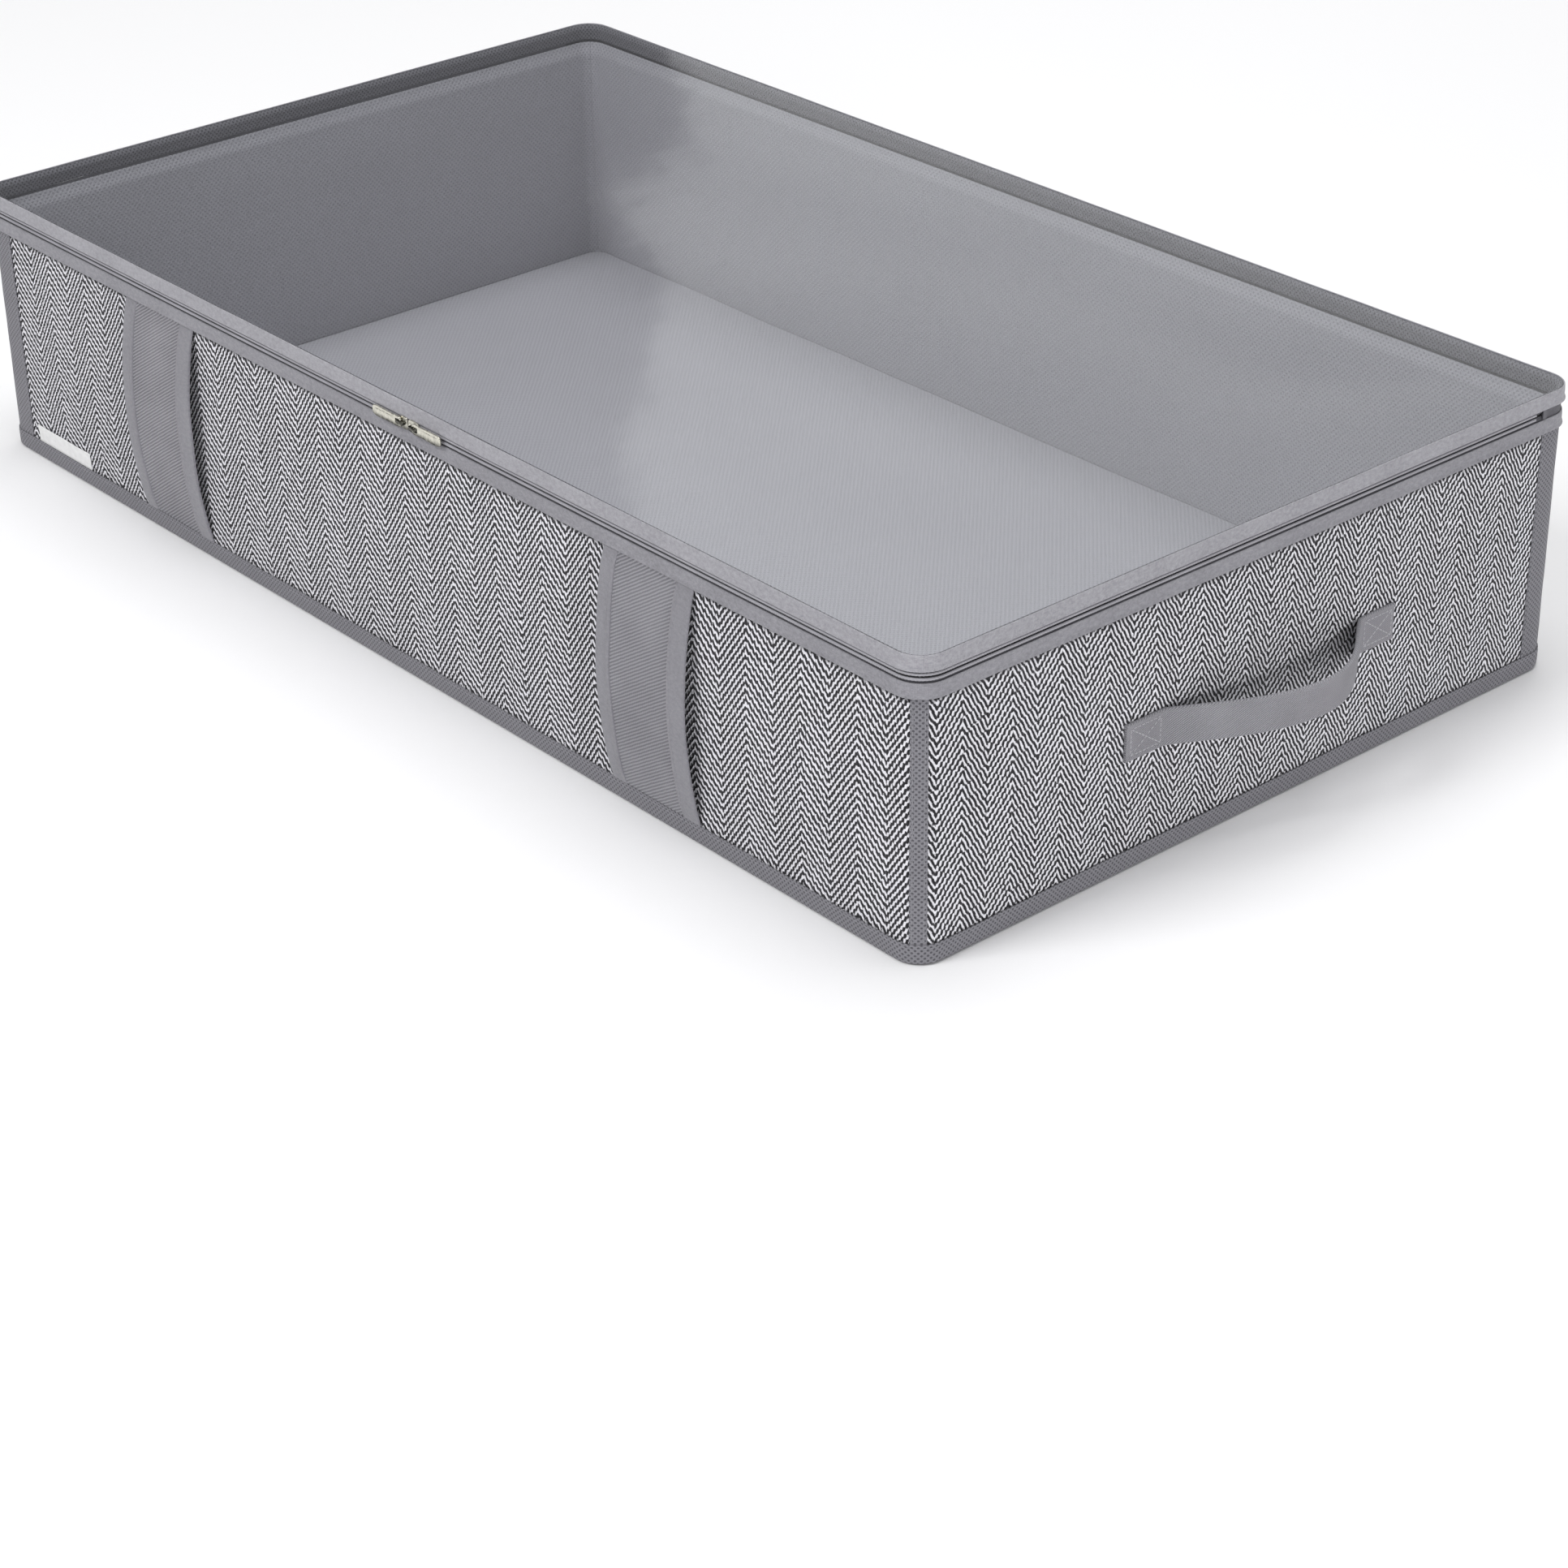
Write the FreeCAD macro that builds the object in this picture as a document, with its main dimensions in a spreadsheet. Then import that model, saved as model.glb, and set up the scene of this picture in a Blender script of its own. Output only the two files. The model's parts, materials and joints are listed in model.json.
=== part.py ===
import FreeCAD, Part
import math
import os
import re

import Sketcher

# Under bed storage box: a low rectangular fabric tub stiffened with boards, closed by a
# clear window lid that zips along the left end, the front and the right end.
# Axes: X along the long front, -Y towards the front, +Z up, millimetres.
# Origin: the middle of the underside of the base.
#
# The lid folds along a line just ahead of the rear wall, where both zip ends stop.
# Layers are measured from the nominal wall plane; a negative depth stands proud of it.

SIZES = [
    ("length", 800, "outer length along X"),
    ("width", 450, "outer width along Y"),
    ("height", 160, "outer height"),
    ("corner_radius", 14, "upright corners, at the wall plane"),
    ("seam_angle", 44.5, "where a wall sheet ends on its corner, degrees from its face"),
    ("gap", 0.05, "air between sheets that lie on each other"),
    # wall and base layers
    ("wall_top", 141.5, "top of the fabric, board and lining walls"),
    ("fabric_thickness", 1, "woven outer wall"),
    ("board_depth", 1.2, "wall plane to the outer face of a board"),
    ("board_thickness", 1.8, "stiffening board"),
    ("board_corner_room", 1, "board end to the start of the corner arc"),
    ("lining_thickness", 0.8, "lining sheet"),
    ("layer_room", 0.2, "air between the layers of wall and base"),
    ("base_fabric_thickness", 0.8, "outer sheet under the base"),
    # bindings
    ("bottom_binding_height", 10.5, "tape round the foot of the walls"),
    ("bottom_binding_leg", 8, "the same tape, turned in under the base"),
    ("bottom_binding_proud", 1, "how far the tape stands out of the wall"),
    ("corner_binding_proud", 0.6, "how far the upright corner tapes stand out"),
    ("corner_binding_angle", 17, "half of the arc that a corner tape covers, degrees"),
    # rim
    ("band_proud", 1.4, "outer face of the two rim bands"),
    ("band_thickness", 0.8, "rim band"),
    ("lower_band_bottom", 138.5, "foot of the lower rim band"),
    ("zip_bottom", 146.5, "top of the lower rim band"),
    ("zip_top", 152, "foot of the upper rim band"),
    ("tape_proud", 0.5, "outer face of the zip tapes"),
    ("tape_thickness", 0.6, "zip tape"),
    ("tape_lap", 0.7, "zip tape edge, from the middle of the zip"),
    ("chain_proud", 1.75, "outer face of the zip chains"),
    ("chain_thickness", 1.2, "depth of a zip chain"),
    ("chain_slit", 1, "slit between the two zip chains"),
    ("chain_width", 1.45, "width of one zip chain"),
    ("flap_depth", 1.5, "wall plane to the outer face of the inner flap"),
    ("flap_thickness", 0.8, "inner flap"),
    ("flap_bottom", 150.2, "lower edge of the inner flap"),
    ("window_thickness", 0.4, "clear window sheet"),
    ("window_sink", 0.1, "window below the top edge of the band"),
    # fold line of the lid
    ("fold_setback", 25, "rear wall plane to the fold line"),
    ("fold_gap", 1, "slit between lid and tub at the fold line"),
    ("stop_length", 3, "zip end stop along the zip"),
    # grip bands on the front
    ("grip_spacing", 426, "between the middles of the two grip bands"),
    ("grip_width", 67, "grip band"),
    ("grip_thickness", 1.2, "grip band"),
    ("grip_bow", 8.5, "how far a grip band bows off the wall"),
    # handle on the right end
    ("strap_width", 20, "handle webbing"),
    ("strap_thickness", 1.3, "handle webbing"),
    ("strap_height", 70.5, "middle of the strap above the ground"),
    ("tab_end", 95, "middle of the strap to the tip of a sewn tab"),
    ("tab_start", 69, "middle of the strap to where it leaves the wall"),
    ("loop_reach", 30.5, "middle line of the loop, furthest from the wall"),
    ("loop_bend", 25, "radius where the strap leaves the wall"),
    ("loop_angle", 40, "half of the arc of the swinging part of the loop, degrees"),
    ("loop_slit_angle", 1, "half of the slit at each end of that arc, degrees"),
    ("stitch_inset", 3, "tab edge to the stitch line"),
    ("stitch_width", 0.6, "stitch line"),
    ("stitch_proud", 0.3, "stitch line above the strap"),
    # label
    ("label_left", 367, "middle of the box to the outer end of the label"),
    ("label_length", 58, "label"),
    ("label_height", 10, "label"),
    ("label_foot", 11, "foot of the label above the ground"),
    ("label_thickness", 0.4, "label"),
    # zip sliders, in a frame at the point where the two noses meet
    ("slider_meeting", 24, "middle of the box to the point where the sliders meet"),
    ("slider_nose", 0.3, "meeting point to the nose of a slider"),
    ("slider_length", 9, "slider plates"),
    ("slider_shoulder", 3.65, "half height of the plates at the wide part"),
    ("slider_setback", 3.6, "nose to the wide part"),
    ("slider_tail", 2.6, "half height of the plates at the tail"),
    ("plate_room", 0.3, "slider plate to chain or tape"),
    ("front_plate_thickness", 0.95, "front slider plate"),
    ("back_plate_thickness", 0.8, "back slider plate"),
    ("web_thickness", 0.5, "web that joins the plates through the slit"),
    ("web_length", 5, "web"),
    ("bridge_width", 1.6, "bridge that holds the pull"),
    ("bridge_bar", 0.8, "bridge material thickness"),
    ("bridge_clear", 1.5, "room under the bridge"),
    ("bridge_start", 2.2, "meeting point to the bridge"),
    ("bridge_length", 6.3, "bridge"),
    ("pull_pivot", 5.3, "meeting point to the pivot of the pull"),
    ("pull_bar", 1, "cross bar of the pull, and the thickness of the pull"),
    ("pull_reach", 23.7, "pivot to the tip of the pull"),
    ("pull_width", 6.2, "pull"),
    ("pull_eye", 4.1, "pivot to the far end of the eye"),
    ("pull_eye_width", 2.6, "eye of the pull"),
    ("pull_tip_radius", 1.6, "rounding of the tip and the head of the pull"),
]

FOLD_Y = "(width/2 - fold_setback)"
ZIP_MIDDLE = "((zip_bottom + zip_top)/2)"
BASE_BOARD_BOTTOM = "(base_fabric_thickness + layer_room)"
WALL_FOOT = "(base_fabric_thickness + layer_room/2)"
INNER_FOOT = f"({BASE_BOARD_BOTTOM} + board_thickness + layer_room)"
WINDOW_TOP = "(height - window_sink)"
WINDOW_BOTTOM = f"({WINDOW_TOP} - window_thickness)"
UNDER_WINDOW = f"({WINDOW_BOTTOM} - layer_room/2)"
LINING_DEPTH = "(board_depth + board_thickness + layer_room)"
CHAIN_BACK = "(-chain_proud + chain_thickness)"

# face name: (half of the run along the face, distance of the face, turn about Z from the front)
FACES = {
    "front": ("length/2", "width/2", 0),
    "right_end": ("width/2", "length/2", 90),
    "rear": ("length/2", "width/2", 180),
    "left_end": ("width/2", "length/2", 270),
}

FUNCTIONS = "sin|cos|atan"
ALIAS = re.compile(rf"\b(?!(?:{FUNCTIONS})\b)[a-z][a-z_]*")
PLANE_SIGN = {"XY_Plane": 1, "XZ_Plane": -1, "YZ_Plane": 1}
UP = FreeCAD.Vector(0, 0, 1)

doc = FreeCAD.newDocument("UnderBedBox")
nodes = []


def fill_sheet():
    sheet = doc.addObject("Spreadsheet::Sheet", "Sizes")
    for row, (alias, size, note) in enumerate(SIZES, start=1):
        sheet.set(f"A{row}", alias)
        sheet.set(f"B{row}", str(size))
        sheet.setAlias(f"B{row}", alias)
        sheet.set(f"C{row}", note)
    doc.recompute()
    return sheet


sheet = fill_sheet()


# ---------------------------------------------------------------- formulas and sketches

def bound(formula):
    """The formula with every alias pointed at the sheet."""
    return ALIAS.sub(r"Sizes.\g<0>", formula)


def number(formula):
    """The formula's present value."""
    return float(sheet.evalExpression(bound(formula)))


def backwards(path):
    """The same path walked from its other end; an arc then turns the other way."""
    corners = [step[:2] for step in reversed(path)]
    arcs = [step[2:] for step in reversed(path[:-1])]
    arcs.append(())
    walked_back = []
    for corner, arc in zip(corners, arcs):
        if arc:
            radius, turn = arc
            arc = (radius, "right" if turn == "left" else "left")
        walked_back.append(corner + arc)
    return walked_back


def arc_through(start, end, radius, turn):
    """The short arc of a circle between two points. Sketch arcs always run anticlockwise."""
    chord = end - start
    side = FreeCAD.Vector(-chord.y, chord.x, 0).normalize()
    if turn == "right":
        side = -side
        start, end = end, start
    rise = math.sqrt(radius ** 2 - chord.Length ** 2 / 4)
    centre = (start + end) / 2 + side * rise
    circle = Part.Circle(centre, UP, radius)
    first = math.atan2(start.y - centre.y, start.x - centre.x)
    last = math.atan2(end.y - centre.y, end.x - centre.x)
    if last < first:
        last += 2 * math.pi
    return Part.ArcOfCircle(circle, first, last)


def draw_loop(sketch, loop):
    """A closed loop of lines and arcs, every corner and radius tied to a formula."""
    points = [FreeCAD.Vector(number(step[0]), number(step[1]), 0) for step in loop]
    first_geometry = sketch.GeometryCount
    ends = []
    for index, step in enumerate(loop):
        start = points[index]
        end = points[(index + 1) % len(loop)]
        if len(step) == 4:
            sketch.addGeometry(arc_through(start, end, number(step[2]), step[3]), False)
            ends.append((1, 2) if step[3] == "left" else (2, 1))
        else:
            sketch.addGeometry(Part.LineSegment(start, end), False)
            ends.append((1, 2))
    for index, step in enumerate(loop):
        geometry = first_geometry + index
        following = first_geometry + (index + 1) % len(loop)
        next_start = ends[(index + 1) % len(loop)][0]
        join = Sketcher.Constraint("Coincident", geometry, ends[index][1], following, next_start)
        sketch.addConstraint(join)
        for kind, formula in (("DistanceX", step[0]), ("DistanceY", step[1])):
            place = Sketcher.Constraint(kind, -1, 1, geometry, ends[index][0], number(formula))
            bind(sketch, sketch.addConstraint(place), formula)
        if len(step) == 4:
            size = Sketcher.Constraint("Radius", geometry, number(step[2]))
            bind(sketch, sketch.addConstraint(size), step[2])


def bind(sketch, constraint, formula):
    sketch.setExpression(f"Constraints[{constraint}]", bound(formula))


def add_pad(body, plane, loops, low, high):
    """Pad the loops along the plane's axis, from low to high."""
    origin_plane = next(item for item in body.Origin.OriginFeatures if item.Role == plane)
    stem = f"{body.Label}_{len(body.Group)}"
    sketch = body.newObject("Sketcher::SketchObject", f"{stem}_sketch")
    sketch.AttachmentSupport = [(origin_plane, "")]
    sketch.MapMode = "FlatFace"
    start = low if PLANE_SIGN[plane] > 0 else f"-({high})"
    sketch.setExpression("AttachmentOffset.Base.z", bound(start))
    for loop in loops:
        draw_loop(sketch, loop)
    pad = body.newObject("PartDesign::Pad", f"{stem}_pad")
    pad.Profile = sketch
    pad.setExpression("Length", bound(f"({high}) - ({low})"))


def new_body(label):
    body = doc.addObject("PartDesign::Body", label)
    body.Label = label
    nodes.append(body)
    return body


def padded(label, plane, loops, low, high):
    """A body that is one pad."""
    body = new_body(label)
    add_pad(body, plane, loops, low, high)
    return body


def place(body, x="0", y="0", z="0", rotation=None):
    body.Placement = FreeCAD.Placement(FreeCAD.Vector(), rotation or FreeCAD.Rotation())
    body.setExpression("Placement.Base.x", bound(x))
    body.setExpression("Placement.Base.y", bound(y))
    body.setExpression("Placement.Base.z", bound(z))


def turned(angle, axis=UP):
    return FreeCAD.Rotation(axis, angle)


# ---------------------------------------------------------------- outlines seen from above

def rounded_rectangle(left, right, near, far, radius):
    return [
        (left, f"({near}) + ({radius})", radius, "left"),
        (f"({left}) + ({radius})", near),
        (f"({right}) - ({radius})", near, radius, "left"),
        (right, f"({near}) + ({radius})"),
        (right, f"({far}) - ({radius})", radius, "left"),
        (f"({right}) - ({radius})", far),
        (f"({left}) + ({radius})", far, radius, "left"),
        (left, f"({far}) - ({radius})"),
    ]


def rectangle(left, right, near, far):
    return [(left, near), (right, near), (right, far), (left, far)]


def plan_outline(depth):
    """The whole box outline, at a depth inside the wall plane."""
    x = f"(length/2 - ({depth}))"
    y = f"(width/2 - ({depth}))"
    return rounded_rectangle(f"-{x}", x, f"-{y}", y, f"(corner_radius - ({depth}))")


def wall_path(run, reach, depth):
    """Along one wall at a depth, from the seam on one corner to the seam on the next."""
    radius = f"(corner_radius - ({depth}))"
    across = f"({run} - corner_radius)"
    down = f"(corner_radius - {reach})"
    side = f"{radius} * sin(seam_angle)"
    drop = f"{radius} * cos(seam_angle)"
    return [
        (f"-{across} - {side}", f"{down} - {drop}", radius, "left"),
        (f"-{across}", f"{down} - {radius}"),
        (across, f"{down} - {radius}", radius, "left"),
        (f"{across} + {side}", f"{down} - {drop}"),
    ]


def rim_path(depth, leg_end):
    """Down one end, along the front and up the other end; leg_end is where the legs stop."""
    radius = f"(corner_radius - ({depth}))"
    across = "(length/2 - corner_radius)"
    down = "(corner_radius - width/2)"
    return [
        (f"-{across} - {radius}", leg_end),
        (f"-{across} - {radius}", down, radius, "left"),
        (f"-{across}", f"{down} - {radius}"),
        (across, f"{down} - {radius}", radius, "left"),
        (f"{across} + {radius}", down),
        (f"{across} + {radius}", leg_end),
    ]


def arc_path(radius, half_angle):
    """An arc about the origin, centred on the direction of the front."""
    side = f"{radius} * sin({half_angle})"
    drop = f"{radius} * cos({half_angle})"
    return [(f"-{side}", f"-{drop}", radius, "left"), (side, f"-{drop}")]


def between(outer_path, inner_path):
    return outer_path + backwards(inner_path)


# ---------------------------------------------------------------- tub walls and base

def build_base():
    inside_binding = "bottom_binding_leg + layer_room"
    padded("base_fabric", "XY_Plane", [plan_outline(inside_binding)], "0", "base_fabric_thickness")
    board_top = f"{BASE_BOARD_BOTTOM} + board_thickness"
    padded("base_board", "XY_Plane", [plan_outline("board_depth")], BASE_BOARD_BOTTOM, board_top)
    lining_edge = f"{LINING_DEPTH} + lining_thickness + layer_room"
    lining_top = f"{INNER_FOOT} + lining_thickness"
    padded("base_lining", "XY_Plane", [plan_outline(lining_edge)], INNER_FOOT, lining_top)


def build_wall_sheet(label, face, depth, thickness, foot):
    run, reach, turn = FACES[face]
    outer = wall_path(run, reach, depth)
    inner = wall_path(run, reach, f"{depth} + {thickness}")
    body = padded(label, "XY_Plane", [between(outer, inner)], foot, "wall_top")
    place(body, rotation=turned(turn))


def build_wall_board(label, face):
    run, reach, turn = FACES[face]
    half = f"({run} - corner_radius - board_corner_room)"
    outside = f"-({reach} - board_depth)"
    outline = rectangle(f"-{half}", half, outside, f"{outside} + board_thickness")
    body = padded(label, "XY_Plane", [outline], INNER_FOOT, "wall_top")
    place(body, rotation=turned(turn))


def build_walls():
    for face in FACES:
        build_wall_sheet(f"{face}_panel", face, "0", "fabric_thickness", WALL_FOOT)
        build_wall_board(f"{face}_board", face)
        build_wall_sheet(f"{face}_lining", face, LINING_DEPTH, "lining_thickness", INNER_FOOT)


def build_bottom_binding():
    """A tape up the foot of the walls, turned in under the base."""
    outer = plan_outline("-bottom_binding_proud")
    body = new_body("bottom_binding")
    add_pad(body, "XY_Plane", [outer, plan_outline("-gap")], "0", "bottom_binding_height")
    add_pad(body, "XY_Plane", [outer, plan_outline("bottom_binding_leg")], "0",
            "base_fabric_thickness")


def build_corner_bindings():
    """Tapes over the upright seams, one on the diagonal of each corner."""
    x = "(length/2 - corner_radius)"
    y = "(width/2 - corner_radius)"
    corners = {
        "front_left": (f"-{x}", f"-{y}", -45),
        "front_right": (x, f"-{y}", 45),
        "rear_right": (x, y, 135),
        "rear_left": (f"-{x}", y, 225),
    }
    outer = arc_path("(corner_radius + corner_binding_proud)", "corner_binding_angle")
    inner = arc_path("(corner_radius + gap)", "corner_binding_angle")
    foot = "bottom_binding_height + layer_room"
    top = "lower_band_bottom - layer_room"
    for name, (centre_x, centre_y, turn) in corners.items():
        body = padded(f"{name}_binding", "XY_Plane", [between(outer, inner)], foot, top)
        place(body, centre_x, centre_y, rotation=turned(turn))


# ---------------------------------------------------------------- rim, zip and lid

LID_END = f"{FOLD_Y} - fold_gap/2"
TUB_START = f"{FOLD_Y} + fold_gap/2"


def build_rim_strip(label, half, depth, thickness, bottom, top, past_fold="0"):
    """A strip of the rim: the front half ends short of the fold, the rear half starts past it."""
    if half == "front":
        leg_end, turn = LID_END, 0
    else:
        leg_end, turn = f"-({TUB_START} + {past_fold})", 180
    outer = rim_path(depth, leg_end)
    inner = rim_path(f"{depth} + {thickness}", leg_end)
    body = padded(label, "XY_Plane", [between(outer, inner)], bottom, top)
    place(body, rotation=turned(turn))


def build_window(label, leg_end, turn):
    """A flat sheet with two rounded corners, just inside the upper band."""
    outline = rim_path("-band_proud + band_thickness + gap", leg_end)
    body = padded(label, "XY_Plane", [outline], WINDOW_BOTTOM, WINDOW_TOP)
    place(body, rotation=turned(turn))


def build_rim():
    band = ("-band_proud", "band_thickness")
    tape = ("-tape_proud", "tape_thickness")
    chain = ("-chain_proud", "chain_thickness")
    flap = ("flap_depth", "flap_thickness")
    ring = [plan_outline("-band_proud"), plan_outline("-band_proud + band_thickness")]
    padded("lower_rim_band", "XY_Plane", ring, "lower_band_bottom", "zip_bottom")

    tape_foot = "wall_top + layer_room"
    lower_tape_top = f"{ZIP_MIDDLE} - tape_lap"
    upper_tape_foot = f"{ZIP_MIDDLE} + tape_lap"
    lower_chain_top = f"{ZIP_MIDDLE} - chain_slit/2"
    upper_chain_foot = f"{ZIP_MIDDLE} + chain_slit/2"
    build_rim_strip("lower_zip_tape", "front", *tape, tape_foot, lower_tape_top)
    build_rim_strip("lower_zip_chain", "front", *chain,
                    f"{lower_chain_top} - chain_width", lower_chain_top)
    build_rim_strip("upper_zip_tape", "front", *tape, upper_tape_foot, UNDER_WINDOW)
    build_rim_strip("upper_zip_chain", "front", *chain,
                    upper_chain_foot, f"{upper_chain_foot} + chain_width")
    build_rim_strip("lid_upper_band", "front", *band, "zip_top", "height")
    build_rim_strip("lid_inner_flap", "front", *flap, "flap_bottom", UNDER_WINDOW)

    build_rim_strip("rear_rim_strip", "rear", *tape, tape_foot, UNDER_WINDOW, "stop_length")
    build_rim_strip("rear_upper_band", "rear", *band, "zip_top", "height")
    build_rim_strip("rear_inner_flap", "rear", *flap, "flap_bottom", UNDER_WINDOW)
    build_window("lid_window", LID_END, 0)
    build_window("rear_window_margin", f"-({TUB_START})", 180)


def build_zip_stops():
    """A small block closes the zip at each end, on the tub's side of the fold."""
    near = TUB_START
    far = f"{TUB_START} + stop_length - layer_room"
    foot = "zip_bottom + layer_room"
    top = "zip_top - layer_room"
    outside = "(length/2 + chain_proud)"
    inside = f"(length/2 - ({CHAIN_BACK}))"
    padded("right_zip_stop", "XY_Plane", [rectangle(inside, outside, near, far)], foot, top)
    padded("left_zip_stop", "XY_Plane", [rectangle(f"-{outside}", f"-{inside}", near, far)],
           foot, top)


# ---------------------------------------------------------------- grips, handle and label

def build_grips():
    """Wide bands that bow off the front between the lower rim band and the bottom binding."""
    foot = "(bottom_binding_height + layer_room)"
    top = "(lower_band_bottom - layer_room)"
    radius = f"((({top} - {foot})/2)^2 + grip_bow^2) / (2 * grip_bow)"
    inner_y = "-(width/2 + gap)"
    outer_y = "-(width/2 + gap + grip_thickness)"
    outer = [(outer_y, foot, radius, "right"), (outer_y, top)]
    inner = [(inner_y, foot, radius, "right"), (inner_y, top)]
    half = "grip_width/2"
    for name, side in (("front_grip_left", "-"), ("front_grip_right", "")):
        body = padded(name, "YZ_Plane", [between(outer, inner)], f"-{half}", half)
        place(body, x=f"{side}grip_spacing/2")


# The strap lies on the wall along a tab, leaves it on an arc that bends outwards, and
# goes over into one long arc that bends back; both arcs touch where they meet.
STRAP_MIDDLE = "(gap + strap_thickness/2)"
LOOP_RISE = f"(loop_reach - {STRAP_MIDDLE})"
BOTH_RADII = f"((tab_start^2 + {LOOP_RISE}^2) / (2 * {LOOP_RISE}))"
LOOP_RADIUS = f"({BOTH_RADII} - loop_bend)"
LOOP_CENTRE = f"(loop_reach - {LOOP_RADIUS})"
MEETING_ANGLE = f"atan(tab_start / ({BOTH_RADII} - {LOOP_RISE}))"


def tab_path(from_middle):
    """One face of a sewn tab and of the strap rising from it, in a frame on the wall."""
    on_wall = f"-({STRAP_MIDDLE} + {from_middle})"
    bend = f"(loop_bend - ({from_middle}))"
    radius = f"({LOOP_RADIUS} + {from_middle})"
    slit = "(loop_angle + loop_slit_angle)"
    return [
        ("tab_end", on_wall),
        ("tab_start", on_wall, bend, "left"),
        (f"{radius} * sin({MEETING_ANGLE})",
         f"-({LOOP_CENTRE} + {radius} * cos({MEETING_ANGLE}))", radius, "right"),
        (f"{radius} * sin({slit})", f"-({LOOP_CENTRE} + {radius} * cos({slit}))"),
    ]


def build_handle():
    half = "strap_width/2"
    thick = "strap_thickness/2"
    outline = between(tab_path(thick), tab_path(f"-{thick}"))
    ring_left, ring_right = "tab_start + stitch_inset", "tab_end - stitch_inset"
    ring_half = f"({half} - stitch_inset)"
    thread = [
        rectangle(ring_left, ring_right, f"-{ring_half}", ring_half),
        rectangle(f"{ring_left} + stitch_width", f"{ring_right} - stitch_width",
                  f"-({ring_half} - stitch_width)", f"{ring_half} - stitch_width"),
    ]
    strap_face = "gap + strap_thickness + gap"
    to_right_end = turned(90)
    upside_down = turned(180, FreeCAD.Vector(1, 0, 0))
    sides = {"rear": to_right_end, "front": upside_down * to_right_end}
    for side, rotation in sides.items():
        tab = padded(f"handle_{side}_tab", "XY_Plane", [outline], f"-{half}", half)
        place(tab, "length/2", "0", "strap_height", rotation)
        stitching = padded(f"{side}_tab_stitching", "XZ_Plane", thread,
                           f"-({strap_face} + stitch_proud)", f"-({strap_face})")
        place(stitching, "length/2", "0", "strap_height", rotation)

    swing = "(loop_angle - loop_slit_angle)"
    outer = arc_path(f"({LOOP_RADIUS} + {thick})", swing)
    inner = arc_path(f"({LOOP_RADIUS} - {thick})", swing)
    loop = padded("handle_loop", "XY_Plane", [between(outer, inner)], f"-{half}", half)
    place(loop, f"length/2 + {LOOP_CENTRE}", "0", "strap_height", to_right_end)


def build_label():
    outline = rectangle("-label_left", "-label_left + label_length",
                        "label_foot", "label_foot + label_height")
    wall = "width/2 + gap"
    padded("blank_label", "XZ_Plane", [outline], f"-({wall} + label_thickness)", f"-({wall})")


# ---------------------------------------------------------------- zip sliders

PLATE_BACK = "(chain_proud + plate_room)"
PLATE_FRONT = f"({PLATE_BACK} + front_plate_thickness)"
BACK_PLATE_FACE = "(-tape_proud + tape_thickness + plate_room)"
PULL_AXIS_PROUD = f"({PLATE_FRONT} + bridge_clear/2)"


def plate_outline():
    """Wide shoulders a little behind the nose, then narrowing to the tail."""
    nose = "-slider_nose"
    shoulder = "-(slider_nose + slider_setback)"
    tail = "-(slider_nose + slider_length)"
    half_nose = "(slider_shoulder - slider_nose)"
    return [
        (tail, "-slider_tail"),
        (shoulder, "-slider_shoulder"),
        (nose, f"-{half_nose}"),
        (nose, half_nose),
        (shoulder, "slider_shoulder"),
        (tail, "slider_tail"),
    ]


def bridge_outline():
    """A low arch over the front plate, seen from above."""
    near = "-bridge_start"
    far = "-(bridge_start + bridge_length)"
    foot = f"-{PLATE_FRONT}"
    ceiling = f"-({PLATE_FRONT} + bridge_clear)"
    crown = f"-({PLATE_FRONT} + bridge_clear + bridge_bar)"
    return [
        (far, foot), (f"{far} + bridge_bar", foot),
        (f"{far} + bridge_bar", ceiling), (f"{near} - bridge_bar", ceiling),
        (f"{near} - bridge_bar", foot), (near, foot),
        (near, ceiling, "bridge_bar", "right"), (f"{near} - bridge_bar", crown),
        (f"{far} + bridge_bar", crown, "bridge_bar", "right"), (far, ceiling),
    ]


def build_slider(label, rotation):
    """Two plates hold the chains between them, joined by a web that runs in the slit."""
    body = new_body(label)
    plates = [plate_outline()]
    add_pad(body, "XZ_Plane", plates, f"-{PLATE_FRONT}", f"-{PLATE_BACK}")
    web_nose = "-(slider_nose + web_thickness)"
    web = rectangle(f"{web_nose} - web_length", web_nose, "-web_thickness/2", "web_thickness/2")
    add_pad(body, "XZ_Plane", [web], f"-{PLATE_BACK}", BACK_PLATE_FACE)
    add_pad(body, "XZ_Plane", plates, BACK_PLATE_FACE,
            f"{BACK_PLATE_FACE} + back_plate_thickness")
    add_pad(body, "XY_Plane", [bridge_outline()], "-bridge_width/2", "bridge_width/2")
    place(body, "slider_meeting", "-width/2", ZIP_MIDDLE, rotation)


def build_pull(label, rotation):
    """A flat tag whose cross bar turns under the bridge."""
    half = "pull_width/2"
    head = "-(pull_pivot - pull_bar/2)"
    tip = "-(pull_pivot + pull_reach)"
    outline = rounded_rectangle(tip, head, f"-{half}", half, "pull_tip_radius")
    eye = rectangle("-(pull_pivot + pull_eye)", "-(pull_pivot + pull_bar/2)",
                    "-pull_eye_width/2", "pull_eye_width/2")
    back = f"-({PULL_AXIS_PROUD} - pull_bar/2)"
    body = padded(label, "XZ_Plane", [outline, eye], f"{back} - pull_bar", back)
    place(body, "slider_meeting", "-width/2", ZIP_MIDDLE, rotation)


def build_sliders():
    mirrored = turned(180, FreeCAD.Vector(0, 1, 0))
    for side, rotation in (("left", turned(0)), ("right", mirrored)):
        build_slider(f"{side}_slider", rotation)
        build_pull(f"{side}_pull", rotation)


# ---------------------------------------------------------------- checks and files

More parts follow.
